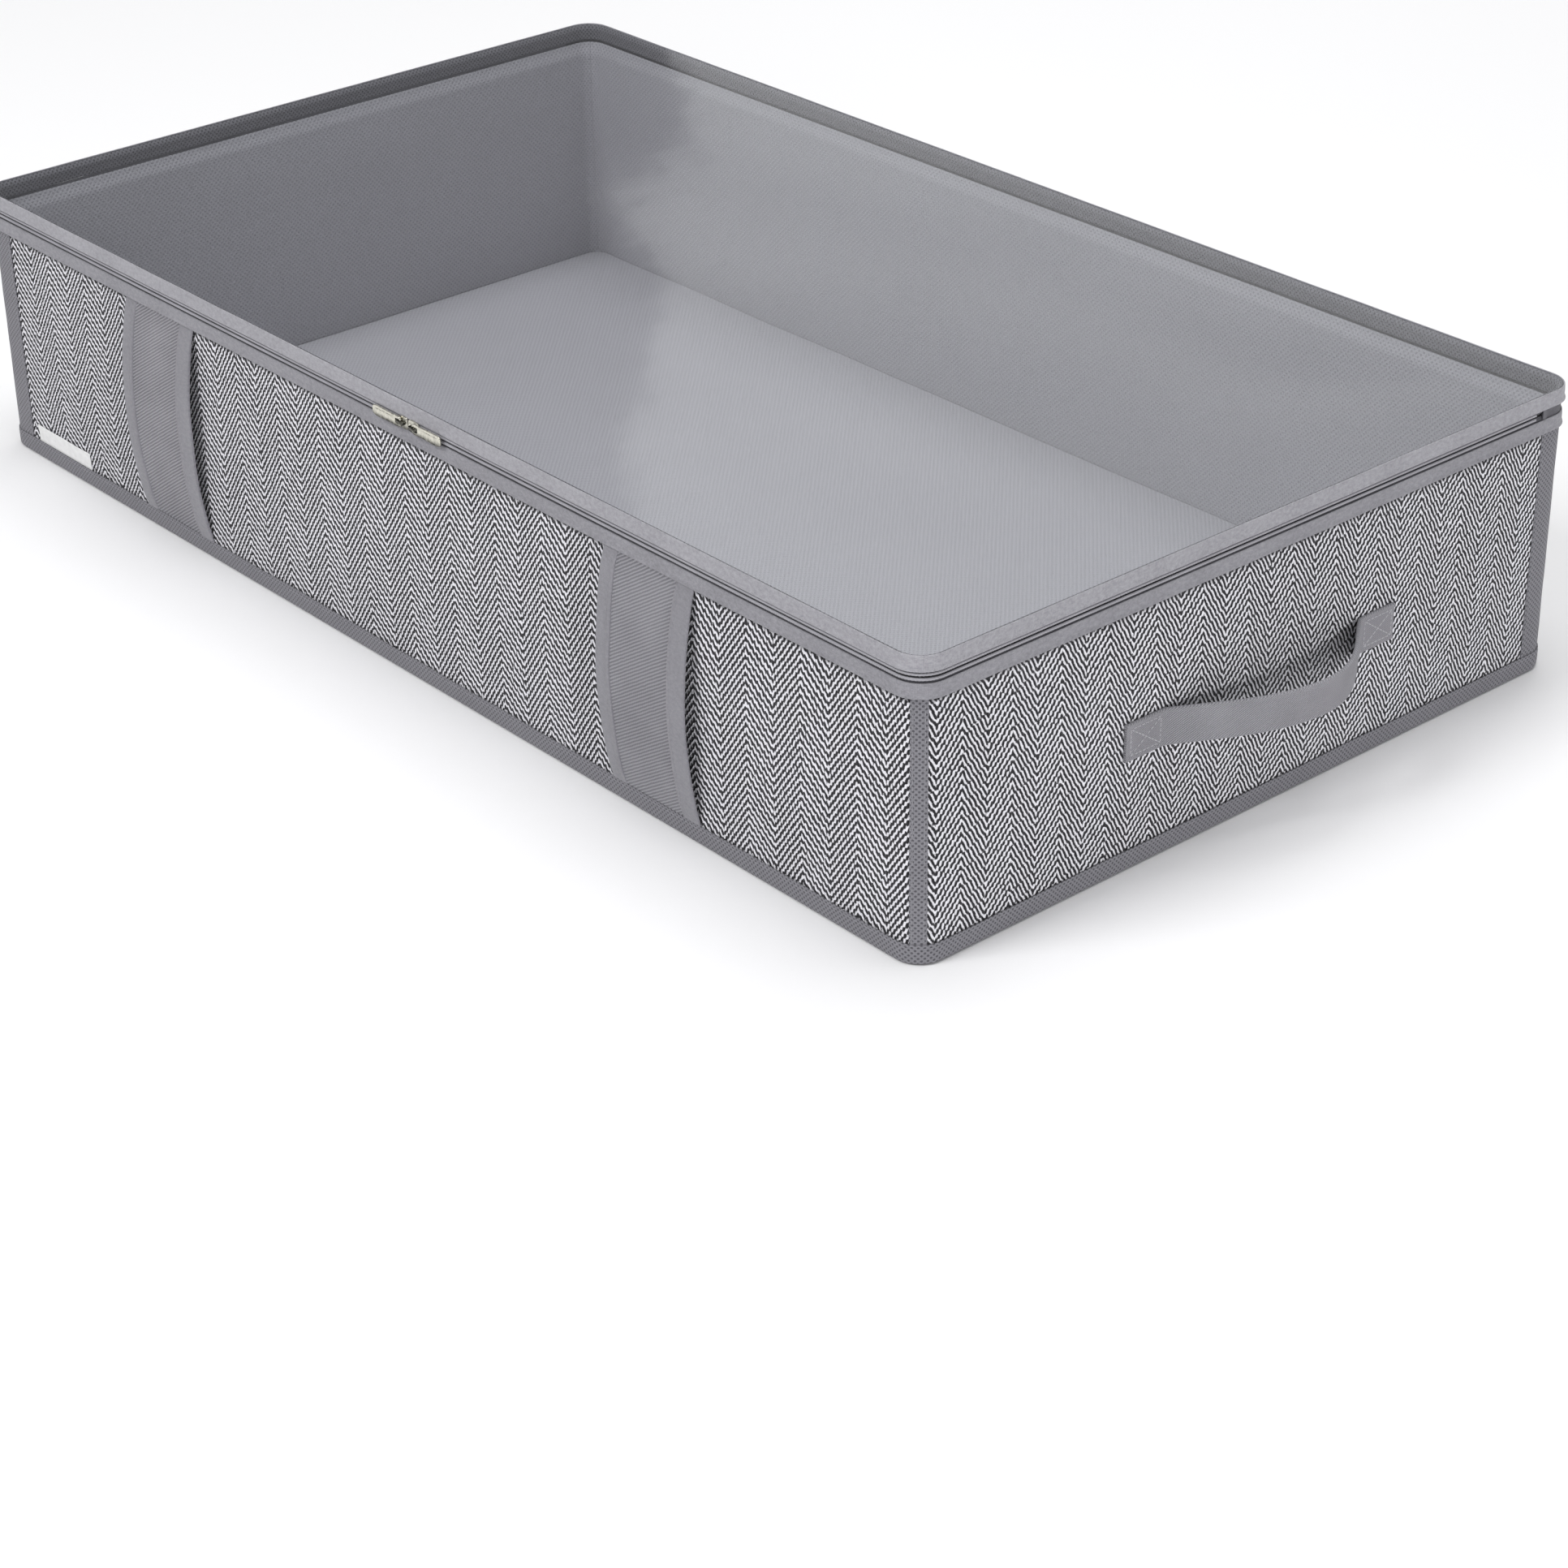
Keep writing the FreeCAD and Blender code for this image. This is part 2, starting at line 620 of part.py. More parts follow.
def check_document():
    for item in doc.Objects:
        if "Invalid" in item.State or "Error" in item.State:
            raise RuntimeError(f"{item.Label} did not recompute: {item.State}")
    for node in nodes:
        shape = node.Shape
        if shape.isNull() or not shape.isValid() or len(shape.Solids) != 1:
            raise RuntimeError(f"{node.Label} is not one valid solid")


def write_parts():
    os.makedirs("parts", exist_ok=True)
    for node in nodes:
        node.Shape.exportStep(f"parts/{node.Label}.step")


build_base()
build_walls()
build_bottom_binding()
build_corner_bindings()
build_rim()
build_zip_stops()
build_grips()
build_handle()
build_label()
build_sliders()
doc.recompute()
check_document()
write_parts()
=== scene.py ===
import json
import math

import bpy
import numpy as np
from mathutils import Matrix, Vector


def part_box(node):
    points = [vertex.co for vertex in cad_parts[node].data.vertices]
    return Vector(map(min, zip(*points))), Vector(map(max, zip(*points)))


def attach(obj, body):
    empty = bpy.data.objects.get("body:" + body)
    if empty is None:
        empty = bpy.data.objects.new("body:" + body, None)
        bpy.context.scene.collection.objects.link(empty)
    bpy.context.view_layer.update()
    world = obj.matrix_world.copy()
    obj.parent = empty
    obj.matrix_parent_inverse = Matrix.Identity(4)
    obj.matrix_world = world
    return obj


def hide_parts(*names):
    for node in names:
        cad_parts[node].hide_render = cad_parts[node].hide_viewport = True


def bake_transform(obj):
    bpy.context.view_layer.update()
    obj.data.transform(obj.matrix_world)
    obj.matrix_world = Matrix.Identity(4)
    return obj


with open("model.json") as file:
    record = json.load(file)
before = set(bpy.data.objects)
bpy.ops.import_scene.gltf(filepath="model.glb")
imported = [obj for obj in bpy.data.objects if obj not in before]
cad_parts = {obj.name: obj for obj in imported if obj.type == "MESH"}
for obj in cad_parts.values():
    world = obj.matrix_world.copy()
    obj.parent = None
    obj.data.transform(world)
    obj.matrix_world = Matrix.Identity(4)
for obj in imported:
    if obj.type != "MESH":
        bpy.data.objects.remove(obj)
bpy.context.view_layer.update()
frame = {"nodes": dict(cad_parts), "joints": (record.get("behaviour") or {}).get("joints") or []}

# The looks of a low fabric box with a clear window lid. Lengths are metres; MM turns
# millimetres into them. The walls, bindings, rim and zip follow one outline: a rectangle
# with rounded corners, walked anticlockwise from the middle of the rear wall. A depth is
# measured inwards from that outline, so what stands proud of the wall has a negative one.

MM = 0.001
TAU = 2 * math.pi

HALF_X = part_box("right_end_panel")[1].x
HALF_Y = -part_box("front_panel")[0].y
CORNER = 14 * MM
RUN_X = HALF_X - CORNER
RUN_Y = HALF_Y - CORNER
ARC = CORNER * math.pi / 2

LID_FOLD = next(joint for joint in frame["joints"] if joint["name"] == "lid_fold")
FOLD_Y = LID_FOLD["pos_m"][1]
FOLD_REACH = 7 * MM

STEPS_ROUND_CORNER = 13
STEPS_OVER_FOLD = 19
STEPS_OVER_EDGE = 4
CLOSEST_STATIONS = 0.15 * MM
THINNEST_EDGE = 0.2


def heights(node):
    low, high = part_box(node)
    return low.z, high.z


WALL_TOP = heights("lower_rim_band")[0]
ZIP_LEVEL = sum(heights("left_slider")) / 2
SLIDERS_MEET = (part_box("left_slider")[1].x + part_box("right_slider")[0].x) / 2


# ---- the outline

def lay_out_sides():
    """Each side's start along the outline, its length, its facing angle and its first point."""
    sides = {}
    start = 0.0
    plan = [("rear_left", RUN_X, 90, (0, HALF_Y)), ("left", 2 * RUN_Y, 180, (-HALF_X, RUN_Y)),
            ("front", 2 * RUN_X, 270, (-RUN_X, -HALF_Y)), ("right", 2 * RUN_Y, 0, (HALF_X, -RUN_Y)),
            ("rear_right", RUN_X, 90, (RUN_X, HALF_Y))]
    for name, length, facing, first in plan:
        sides[name] = (start, length, math.radians(facing), np.array(first))
        start += length + ARC
    return sides, start - ARC


SIDES, AROUND = lay_out_sides()


def middle_of(side):
    start, length, _, _ = SIDES[side]
    return start + length / 2


def outline(s):
    """Points of the outline and the outward directions there, at distances s along it."""
    s = np.clip(np.asarray(s, float), 0, AROUND)
    place = np.zeros((len(s), 2))
    normal = np.zeros((len(s), 2))
    for start, length, facing, first in SIDES.values():
        along = np.array([-math.sin(facing), math.cos(facing)])
        out = np.array([math.cos(facing), math.sin(facing)])
        on_side = (s >= start - 1e-9) & (s <= start + length + 1e-9)
        place[on_side] = first + np.outer(s[on_side] - start, along)
        normal[on_side] = out
        on_arc = (s > start + length) & (s < start + length + ARC)
        turn = facing + (s[on_arc] - start - length) / CORNER
        centre = first + along * length - out * CORNER
        normal[on_arc] = np.column_stack([np.cos(turn), np.sin(turn)])
        place[on_arc] = centre + CORNER * normal[on_arc]
    return place, normal


def at_y(side, y):
    """Distance along the outline of the point of an end side that has this y."""
    start = SIDES[side][0]
    return start + (RUN_Y - y if side == "left" else y + RUN_Y)


def stations(low, high, step, fold=False):
    """Distances from low to high: even steps, closer round the corners and over the fold."""
    marks = [np.linspace(low, high, max(2, round((high - low) / step) + 1))]
    for start, length, _, _ in SIDES.values():
        marks.append(start + length + np.linspace(0, ARC, STEPS_ROUND_CORNER))
    if fold:
        for side in ("left", "right"):
            marks.append(at_y(side, FOLD_Y) + np.linspace(-FOLD_REACH, FOLD_REACH, STEPS_OVER_FOLD))
    every = np.sort(np.concatenate(marks))
    every = every[(every >= low) & (every <= high)]
    keep = np.append(True, np.diff(every) > CLOSEST_STATIONS)
    every = every[keep]
    every[-1] = high
    return every


# ---- shapes

def smooth(value, low, high):
    """0 at low, 1 at high, an even S between them."""
    t = np.clip((value - low) / (high - low), 0, 1)
    return t * t * (3 - 2 * t)


def bell(value, middle, width):
    return np.exp(-((value - middle) / width) ** 2)


def ripple(u, v, size, seed):
    """Smooth waviness of about one unit, with features about size millimetres across."""
    waves = 12
    spread = 3.5
    random = np.random.default_rng(seed)
    total = 0 * (u + v)
    for _ in range(waves):
        turn = random.uniform(0, TAU)
        beat = TAU / (size * MM) * random.uniform(0.5, 1.5)
        phase = random.uniform(0, TAU)
        total = total + np.sin(beat * (u * math.cos(turn) + v * math.sin(turn)) + phase)
    return total / spread


def crosswise(low, high, count, roll):
    """Positions across a sheet, packed close over its two rounded edges."""
    edge = roll * (1 - np.cos(np.linspace(0, math.pi / 2, STEPS_OVER_EDGE)))
    body = np.linspace(low + roll, high - roll, count)
    return np.concatenate([low + edge[:-1], body, high - edge[-2::-1]])


def roundness(position, roll):
    """A sheet's share of its thickness: full in the body, falling like a half circle at the edges."""
    low, high = position.min(), position.max()
    reach = np.clip(np.minimum(position - low, high - position) / roll, 0, 1)
    return np.maximum(np.sqrt(1 - (1 - reach) ** 2), THINNEST_EDGE)


def add_object(name, data):
    item = bpy.data.objects.new(name, data)
    bpy.context.scene.collection.objects.link(item)
    return item


def mesh_object(name, points, faces, cloth=None):
    mesh = bpy.data.meshes.new(name)
    mesh.from_pydata([tuple(point) for point in points], [], faces)
    if cloth is not None:
        layer = mesh.attributes.new("cloth", "FLOAT_VECTOR", "POINT")
        layer.data.foreach_set("vector", np.asarray(cloth, np.float32).ravel())
    mesh.update()
    mesh.shade_smooth()
    mesh.set_sharp_from_angle(angle=math.radians(50))
    return add_object(name, mesh)


def strips(first, second):
    """Faces between two equal rows of point numbers."""
    return np.column_stack([first[:-1], first[1:], second[1:], second[:-1]])


def closed_sheet(name, outer, inner, cloth):
    """A closed sheet between two facing grids of points. Rows run along the sheet.

    cloth holds the place of each point on the flat sheet, for the materials.
    """
    rows, columns, _ = outer.shape
    front = np.arange(rows * columns).reshape(rows, columns)
    back = front + rows * columns
    faces = []
    for row in range(rows - 1):
        faces.append(strips(front[row + 1], front[row])[:, ::-1])
        faces.append(strips(back[row], back[row + 1])[:, ::-1])
    faces.append(strips(front[0], back[0]))
    faces.append(strips(back[-1], front[-1]))
    faces.append(strips(back[:, 0], front[:, 0]))
    faces.append(strips(front[:, -1], back[:, -1]))
    points = np.concatenate([outer.reshape(-1, 3), inner.reshape(-1, 3)])
    both = np.concatenate([cloth.reshape(-1, 3)] * 2)
    return mesh_object(name, points, np.concatenate(faces).tolist(), both)


def wrap(name, s, z, outer, inner, roll=0.4 * MM, roll_ends=False):
    """A sheet that follows the outline over distances s and heights z, between two depths."""
    S, Z = np.meshgrid(s, z, indexing="ij")
    outer_depth = outer(S, Z) if callable(outer) else outer + 0 * S
    inner_depth = inner(S, Z) if callable(inner) else inner + 0 * S
    share = roundness(Z, roll)
    if roll_ends:
        share = np.minimum(share, roundness(S, roll))
    middle = (outer_depth + inner_depth) / 2
    place, normal = outline(s)

    def lay(depth):
        depth = middle + (depth - middle) * share
        return np.dstack([place[:, None, :] - normal[:, None, :] * depth[..., None], Z])

    return closed_sheet(name, lay(outer_depth), lay(inner_depth), np.dstack([S, Z, 0 * S]))


def level_sheet(name, depth, top, bottom, columns, extra_rows=()):
    """A flat sheet with the box's rounded plan, inset by a depth. top and bottom give heights."""
    half_y = HALF_Y - depth
    radius = CORNER - depth
    round_end = (half_y - radius) + radius * np.sin(np.linspace(0, math.pi / 2, 8))
    body = np.linspace(-(half_y - radius), half_y - radius, 61)
    y = np.unique(np.round(np.concatenate([-round_end, body, round_end, extra_rows]), 6))
    over = np.clip(np.abs(y) - (half_y - radius), 0, radius)
    half_x = HALF_X - depth - radius + np.sqrt(radius ** 2 - over ** 2)
    share = np.linspace(-1, 1, columns)
    X = share[:, None] * half_x[None, :]
    Y = np.broadcast_to(y, X.shape)
    upper = np.dstack([X, Y, top(X, Y)])
    lower = np.dstack([X, Y, bottom(X, Y)])
    return closed_sheet(name, upper, lower, np.dstack([X, Y, 0 * X]))


def unit(rows):
    return rows / np.linalg.norm(rows, axis=1)[:, None]


def distances(path):
    """How far along the path each of its points is."""
    return np.append(0, np.cumsum(np.linalg.norm(np.diff(path, axis=0), axis=1)))


def sample(at, run, rows):
    """Rows at the distances at, between rows that stand at the distances run."""
    return np.column_stack([np.interp(at, run, column) for column in rows.T])


def ribbon(name, path, across, out, width, thickness, columns=9, roll=0.45 * MM, selvedge=0.0):
    """A flat strap along a path: across is its width direction, out its outer face, per point.

    selvedge thickens the strap along both edges by this share.
    """
    lateral = crosswise(-width / 2, width / 2, columns, roll)
    rib = bell(width / 2 - np.abs(lateral), 0.9 * MM, 0.8 * MM)
    share = roundness(lateral, roll) * (1 + selvedge * rib)
    centre = path[:, None, :] + across[:, None, :] * lateral[None, :, None]
    lift = out[:, None, :] * (share * thickness / 2)[None, :, None]
    S, W = np.meshgrid(distances(path), lateral, indexing="ij")
    return closed_sheet(name, centre + lift, centre - lift, np.dstack([S, W, 0 * S]))


def stitch_shape():
    """One thread hump, one unit long, one wide and one high, its middle at the surface."""
    rings = [(-0.5, 0.0), (-0.42, 0.6), (-0.2, 0.95), (0.2, 0.95), (0.42, 0.6), (0.5, 0.0)]
    corners = 6
    points = []
    for along, size in rings:
        for corner in range(corners):
            turn = TAU * corner / corners
            points.append((along, 0.5 * size * math.cos(turn), 0.5 * size * math.sin(turn)))
    faces = []
    for ring in range(len(rings) - 1):
        for corner in range(corners):
            here = ring * corners + corner
            after = ring * corners + (corner + 1) % corners
            faces.append((here, here + corners, after + corners, after))
    return np.array(points), np.array(faces)


def stitching(name, rows, length=2.6 * MM, gap=0.9 * MM, thread=0.42 * MM):
    """Rows of stitches. Each row is a line of points and the outward directions there."""
    shape, shape_faces = stitch_shape()
    points, faces = [], []
    for path, out in rows:
        run = distances(path)
        middles = np.arange(length / 2, run[-1] - length / 2, length + gap)
        place = sample(middles, run, path)
        up = sample(middles, run, out)
        along = unit(sample(middles + 0.3 * MM, run, path) - place)
        side = np.cross(up, along)
        for index in range(len(middles)):
            axes = np.array([along[index] * length, side[index] * thread, up[index] * thread])
            faces.append(shape_faces + len(points) * len(shape))
            points.append(place[index] + shape @ axes)
    cloth = np.concatenate([shape * 10 * MM] * len(points))
    return mesh_object(name, np.concatenate(points), np.concatenate(faces).tolist(), cloth)


def outline_row(s, z, depth):
    """A stitch row on the outline; s, z and depth are each a number or one value per point."""
    s, z, depth = np.broadcast_arrays(s, z, depth)
    place, normal = outline(s)
    return np.column_stack([place - normal * depth[:, None], z]), np.column_stack([normal, 0 * z])


def stamped(name, loops, thickness, bevel):
    """A plate cut from flat loops of (x, y) points; inner loops are holes. It lies level."""
    curve = bpy.data.curves.new(name, "CURVE")
    curve.dimensions = "2D"
    curve.fill_mode = "BOTH"
    curve.extrude = thickness / 2 - bevel
    curve.bevel_depth = bevel
    curve.bevel_resolution = 2
    curve.offset = -bevel
    for loop in loops:
        spline = curve.splines.new("POLY")
        spline.points.add(len(loop) - 1)
        for point, (x, y) in zip(spline.points, loop):
            point.co = (x, y, 0, 1)
        spline.use_cyclic_u = True
    holder = add_object(name + "_outline", curve)
    bpy.context.view_layer.update()
    mesh = bpy.data.meshes.new_from_object(holder.evaluated_get(bpy.context.evaluated_depsgraph_get()))
    bpy.data.objects.remove(holder)
    points = np.array([vertex.co for vertex in mesh.vertices])
    faces = [tuple(polygon.vertices) for polygon in mesh.polygons]
    return points, faces


def rectangle(left, right, bottom, top):
    return [(left, bottom), (right, bottom), (right, top), (left, top)]


def rounded(corners, radius, steps=5):
    """The closed loop through the corners, with each corner rounded."""
    loop = []
    for index, corner in enumerate(corners):
        corner = np.array(corner, float)
        before = np.array(corners[index - 1], float) - corner
        after = np.array(corners[(index + 1) % len(corners)], float) - corner
        cut = min(radius, 0.45 * np.linalg.norm(before), 0.45 * np.linalg.norm(after))
        start = corner + before / np.linalg.norm(before) * cut
        end = corner + after / np.linalg.norm(after) * cut
        for t in np.linspace(0, 1, steps):
            loop.append(tuple((1 - t) ** 2 * start + 2 * t * (1 - t) * corner + t ** 2 * end))
    return loop


# ---- shader values

def add_node(tree, kind, **values):
    """A new shader node, with the inputs of these names set."""
    node = tree.nodes.new("ShaderNode" + kind)
    for name, value in values.items():
        node.inputs[name.replace("_", " ")].default_value = value
    return node


def link(source, target):
    """Connect an output socket or a Field to an input socket."""
    source = getattr(source, "socket", source)
    target.id_data.links.new(source, target)


class Field:
    """A shader value that adds, multiplies and takes shape like a number."""

    def __init__(self, socket):
        self.socket = socket

    def do(self, operation, *others):
        node = add_node(self.socket.id_data, "Math")
        node.operation = operation
        for entry, item in zip(node.inputs, (self,) + others):
            if isinstance(item, Field):
                link(item, entry)
            else:
                entry.default_value = item
        return Field(node.outputs[0])

    def __add__(self, other):
        return self.do("ADD", other)

    def __sub__(self, other):
        return self.do("SUBTRACT", other)

    def __mul__(self, other):
        return self.do("MULTIPLY", other)

    def wave(self, period):
        return (self * (TAU / period)).do("SINE")

    def size(self):
        return self.do("ABSOLUTE")

    def zigzag(self, half):
        return self.do("PINGPONG", half)

    def from_cell(self):
        """Signed distance from the middle of a unit cell."""
        return self.do("FRACT") - 0.5

    def ramp(self, low, high):
        """0 at low, 1 at high, an even S between them."""
        node = add_node(self.socket.id_data, "MapRange", From_Min=low, From_Max=high)
        node.interpolation_type = "SMOOTHSTEP"
        link(self, node.inputs["Value"])
        return Field(node.outputs["Result"])


def split(vector):
    """The three parts of a vector socket."""
    parts = add_node(vector.id_data, "SeparateXYZ")
    link(vector, parts.inputs[0])
    return [Field(part) for part in parts.outputs]


class Finish:
    """One node material under construction."""

    def __init__(self, name, roughness, sheen=0.0, metallic=0.0):
        self.material, self.tree = node_material(name)
        self.shader = self.tree.nodes["Principled BSDF"]
        for entry, value in (("Roughness", roughness), ("Metallic", metallic),
                             ("Sheen Weight", sheen), ("Sheen Roughness", 0.5)):
            self.shader.inputs[entry].default_value = value
        place = add_node(self.tree, "Attribute")
        place.attribute_name = "cloth"
        self.u, self.v, self.w = (part * 1000 for part in split(place.outputs["Vector"]))

    def noise(self, size, stretch=1.0, seed=0.0, detail=2.0):
        """Noise about zero, with features about size millimetres across."""
        join = add_node(self.tree, "CombineXYZ")
        link(self.u * (1 / (size * stretch)), join.inputs[0])
        link(self.v * (1 / size), join.inputs[1])
        link(self.w * (1 / size) + seed, join.inputs[2])
        node = add_node(self.tree, "TexNoise", Scale=1, Detail=detail)
        link(join.outputs[0], node.inputs["Vector"])
        return Field(node.outputs["Fac"]) - 0.5

    def paint(self, dark, light, amount):
        """Base colour between two colours."""
        node = add_node(self.tree, "Mix")
        node.data_type = "RGBA"
        link(amount, node.inputs["Factor"])
        node.inputs[6].default_value = tone(dark)
        node.inputs[7].default_value = tone(light)
        link(node.outputs[2], self.shader.inputs["Base Color"])

    def emboss(self, height, depth):
        """Relief from a height of about one unit, depth millimetres deep."""
        add_relief(height, depth, self.shader)

    def gloss(self, roughness):
        link(roughness, self.shader.inputs["Roughness"])


def add_relief(height, depth, shader):
    bump = add_node(shader.id_data, "Bump", Distance=depth * MM)
    link(height, bump.inputs["Height"])
    link(bump.outputs["Normal"], shader.inputs["Normal"])


def object_noise(tree, scale, detail):
    """Noise that is fixed to the object's own space, in metres."""
    noise = add_node(tree, "TexNoise", Scale=scale, Detail=detail)
    link(add_node(tree, "TexCoord").outputs["Object"], noise.inputs["Vector"])
    return Field(noise.outputs["Fac"])


def mix_shaders(tree, factor, first, second):
    """The material's surface: first where the factor is 0, second where it is 1."""
    mix = add_node(tree, "MixShader")
    for source, entry in zip((factor, first.outputs[0], second.outputs[0]), mix.inputs):
        link(source, entry)
    link(mix.outputs[0], tree.nodes["Material Output"].inputs["Surface"])


def node_material(name):
    material = bpy.data.materials.new(name)
    material.use_nodes = True
    return material, material.node_tree


def tone(colour):
    """A display colour, 0 to 1, as linear light."""
    linear = [c / 12.92 if c <= 0.04045 else ((c + 0.055) / 1.055) ** 2.4 for c in colour]
    return (*linear, 1)


def grey(value, blue=0.02):
    """A neutral display grey with the slight blue cast of the cloth."""
    return (value, value - 0.004, value + blue)


def herringbone(name, period, rise, fall, pitch):
    """Zigzag weave of black and white yarn; rise and fall are the slopes of its two legs."""
    finish = Finish(name, 0.9, sheen=0.05)
    u, v = finish.u, finish.v
    drift = finish.noise(30, seed=3) * 1.8
    wobble = finish.noise(3.4, seed=5) * 1.5
    climb = u.zigzag(period / 2) * ((rise + fall) / 2) + u * ((rise - fall) / 2)
    strand = (v - climb + drift + wobble).wave(pitch)
    bead = (u + v * 0.25 + wobble).wave(2.3)
    knot = finish.noise(1.7, seed=7)
    fibre = finish.noise(0.6, seed=9)
    light = (strand + bead * 0.6 + knot * 2.5 + fibre * 1.1).ramp(-0.12, 0.42)
    patch = finish.noise(60, seed=11) * 0.10
    # painted shade: the cloth is painted dark right under the rim, where the band's shadow falls; the
    # cloth is also pinched there
    rim_shadow_factor = (v * -1 + WALL_TOP / MM).ramp(0.8, 4.2) * 0.8 + 0.2
    finish.paint(grey(0.09), grey(0.94), (light * 0.97 + bead * 0.03 + patch) * rim_shadow_factor)
    finish.emboss(strand.size() + bead * 0.3 + fibre * 0.6, 0.4)
    return finish.material


def dotted(name, base, dot, pitch=2.8):
    """Non-woven cloth with rows of small embossed dots."""
    finish = Finish(name, 0.9, sheen=0.15)
    across = ((finish.u + finish.v) * (1 / pitch)).from_cell()
    down = ((finish.u - finish.v) * (1 / pitch)).from_cell()
    spread = across * across + down * down
    spot = (spread * -1 + 0.16).ramp(0.02, 0.13)
    fibre = finish.noise(0.5, stretch=2.5, seed=2)
    patch = finish.noise(40, seed=4)
    finish.paint(grey(base), grey(dot), spot * 0.9 + fibre * 0.45 + patch * 0.25 + 0.08)
    finish.emboss(spot * -1 + fibre * 0.7, 0.3)
    return finish.material


def fine_tape(name, base, shade):
    """Smooth closely woven tape: faint ribs across it and a soft fibre grain."""
    finish = Finish(name, 0.82, sheen=0.2)
    rib = finish.u.wave(0.7)
    fibre = finish.noise(0.6, stretch=1.6, seed=6)
    mottle = finish.noise(1.8, stretch=1.5, seed=16)
    patch = finish.noise(30, seed=7)
    finish.paint(grey(shade), grey(base), patch * 0.5 + mottle * 1.1 + fibre * 0.9 + rib * 0.06 + 0.6)
    finish.emboss(rib * 0.35 + fibre + mottle * 0.5, 0.14)
    return finish.material


def twill(name, base, shade, pitch, slope, strength):
    """Webbing with fine diagonal lines."""
    finish = Finish(name, 0.85, sheen=0.12)
    line = (finish.u * slope - finish.v + finish.noise(4, seed=8) * 0.6).wave(pitch)
    float_yarn = finish.u.wave(1.1)
    fibre = finish.noise(0.5, seed=12)
    patch = finish.noise(35, seed=13)
    shading = line * strength + float_yarn * 0.05 + fibre * 0.5 + patch * 0.6 + 0.5
    finish.paint(grey(shade), grey(base), shading)
    finish.emboss(line * 0.7 + float_yarn * 0.2 + fibre * 0.5, 0.3)
    return finish.material


def thread_finish(name, base, shade):
    finish = Finish(name, 0.6, sheen=0.3)
    ply = finish.u.wave(TAU / 2.4)
    finish.paint(grey(shade), grey(base), ply * 0.25 + finish.noise(0.4, seed=1) * 0.4 + 0.6)
    finish.emboss(ply, 0.05)
    return finish.material


def coil_finish(name, dark, light):
    """Moulded zip coil: satin plastic with slight colour drift."""
    finish = Finish(name, 0.42)
    finish.paint(grey(dark), grey(light), finish.noise(14, seed=2) * 0.8 + 0.6)
    finish.gloss(finish.noise(3, seed=5) * 0.3 + 0.42)
    finish.emboss(finish.noise(0.4, seed=8), 0.03)
    return finish.material


def metal_finish():
    """Bright pale plating with fine brushing, a little wear and painted shade on its lower part."""
    finish = Finish("pale_plating", 0.22, metallic=1.0)
    brush = finish.noise(0.25, stretch=14, seed=3)
    wear = finish.noise(2.5, seed=6)
    # painted shade: the metal below the zip's middle line is painted darker, standing in for the shade on
    # its lower edges
    edge = (finish.v - ZIP_LEVEL / MM).ramp(-2.9, 0.2)
    finish.paint((0.18, 0.18, 0.16), (0.86, 0.85, 0.80), wear * 0.9 + edge * 0.75 + 0.08)
    finish.gloss(brush * 0.25 + wear * 0.3 + 0.26)
    finish.emboss(brush + wear * 0.5, 0.02)
    return finish.material


def satin_finish():
    """Blank woven label satin."""
    finish = Finish("label_satin", 0.5, sheen=0.3)
    weave = finish.u.wave(0.5)
    finish.paint((0.86, 0.86, 0.86), (0.97, 0.97, 0.97), weave * 0.1 + finish.noise(4, seed=2) + 0.7)
    finish.emboss(weave + finish.noise(0.5, seed=4), 0.05)
    return finish.material


def board_finish():
    """Pressed grey board with short fibres."""
    finish = Finish("pressed_board", 0.95)
    fibre = object_noise(finish.tree, 350, 6)
    finish.paint((0.50, 0.45, 0.38), (0.66, 0.61, 0.53), fibre)
    finish.emboss(fibre, 0.2)
    return finish.material


def window_finish():
    """Thin clear sheet: almost all light passes, the rest is a soft sheen that grows at a slant."""
    material, tree = node_material("clear_sheet")
    tree.nodes.remove(tree.nodes["Principled BSDF"])
    through = add_node(tree, "BsdfTransparent", Color=(0.965, 0.97, 0.975, 1))
    sheen = add_node(tree, "BsdfGlossy", Roughness=0.09)
    slant = add_node(tree, "Fresnel", IOR=1.35)
    # the sheet is thin, so only the face that light meets first reflects
    leaving = add_node(tree, "NewGeometry").outputs["Backfacing"]
    shine = Field(slant.outputs["Fac"]) * (Field(leaving) * -1 + 1)
    add_relief(object_noise(tree, 9, 3), 0.6, sheen)
    mix_shaders(tree, shine, through, sheen)
    return material


FRONT_WEAVE = herringbone("herringbone_long_walls", period=38.5, rise=1.44, fall=0.78, pitch=4.5)
END_WEAVE = herringbone("herringbone_end_walls", period=31, rise=1.06, fall=1.72, pitch=4.5)
BINDING = dotted("dotted_binding", 0.51, 0.31)
FLAP = dotted("dotted_flap", 0.44, 0.26)
LINING = dotted("dotted_lining", 0.68, 0.62, pitch=3.2)
UPPER_BAND = fine_tape("upper_rim_tape", 0.67, 0.50)
LOWER_BAND = fine_tape("lower_rim_tape", 0.60, 0.43)
DARK_TAPE = fine_tape("dark_tape", 0.38, 0.28)
STRAP = twill("strap_twill", 0.67, 0.45, pitch=1.25, slope=0.7, strength=0.3)
GRIP = twill("grip_twill", 0.63, 0.41, pitch=1.9, slope=0.64, strength=0.42)
ZIP_SHADE = fine_tape("zip_tape_under", 0.30, 0.20)
HEM = fine_tape("grip_hem", 0.56, 0.45)
THREAD = thread_finish("grey_thread", 0.60, 0.45)
TAB_THREAD = thread_finish("pale_thread", 0.76, 0.60)
COIL = coil_finish("zip_coil_satin", 0.53, 0.67)
STOP = coil_finish("zip_stop_satin", 0.26, 0.38)
METAL = metal_finish()
SATIN = satin_finish()
BOARD = board_finish()
CLEAR = window_finish()


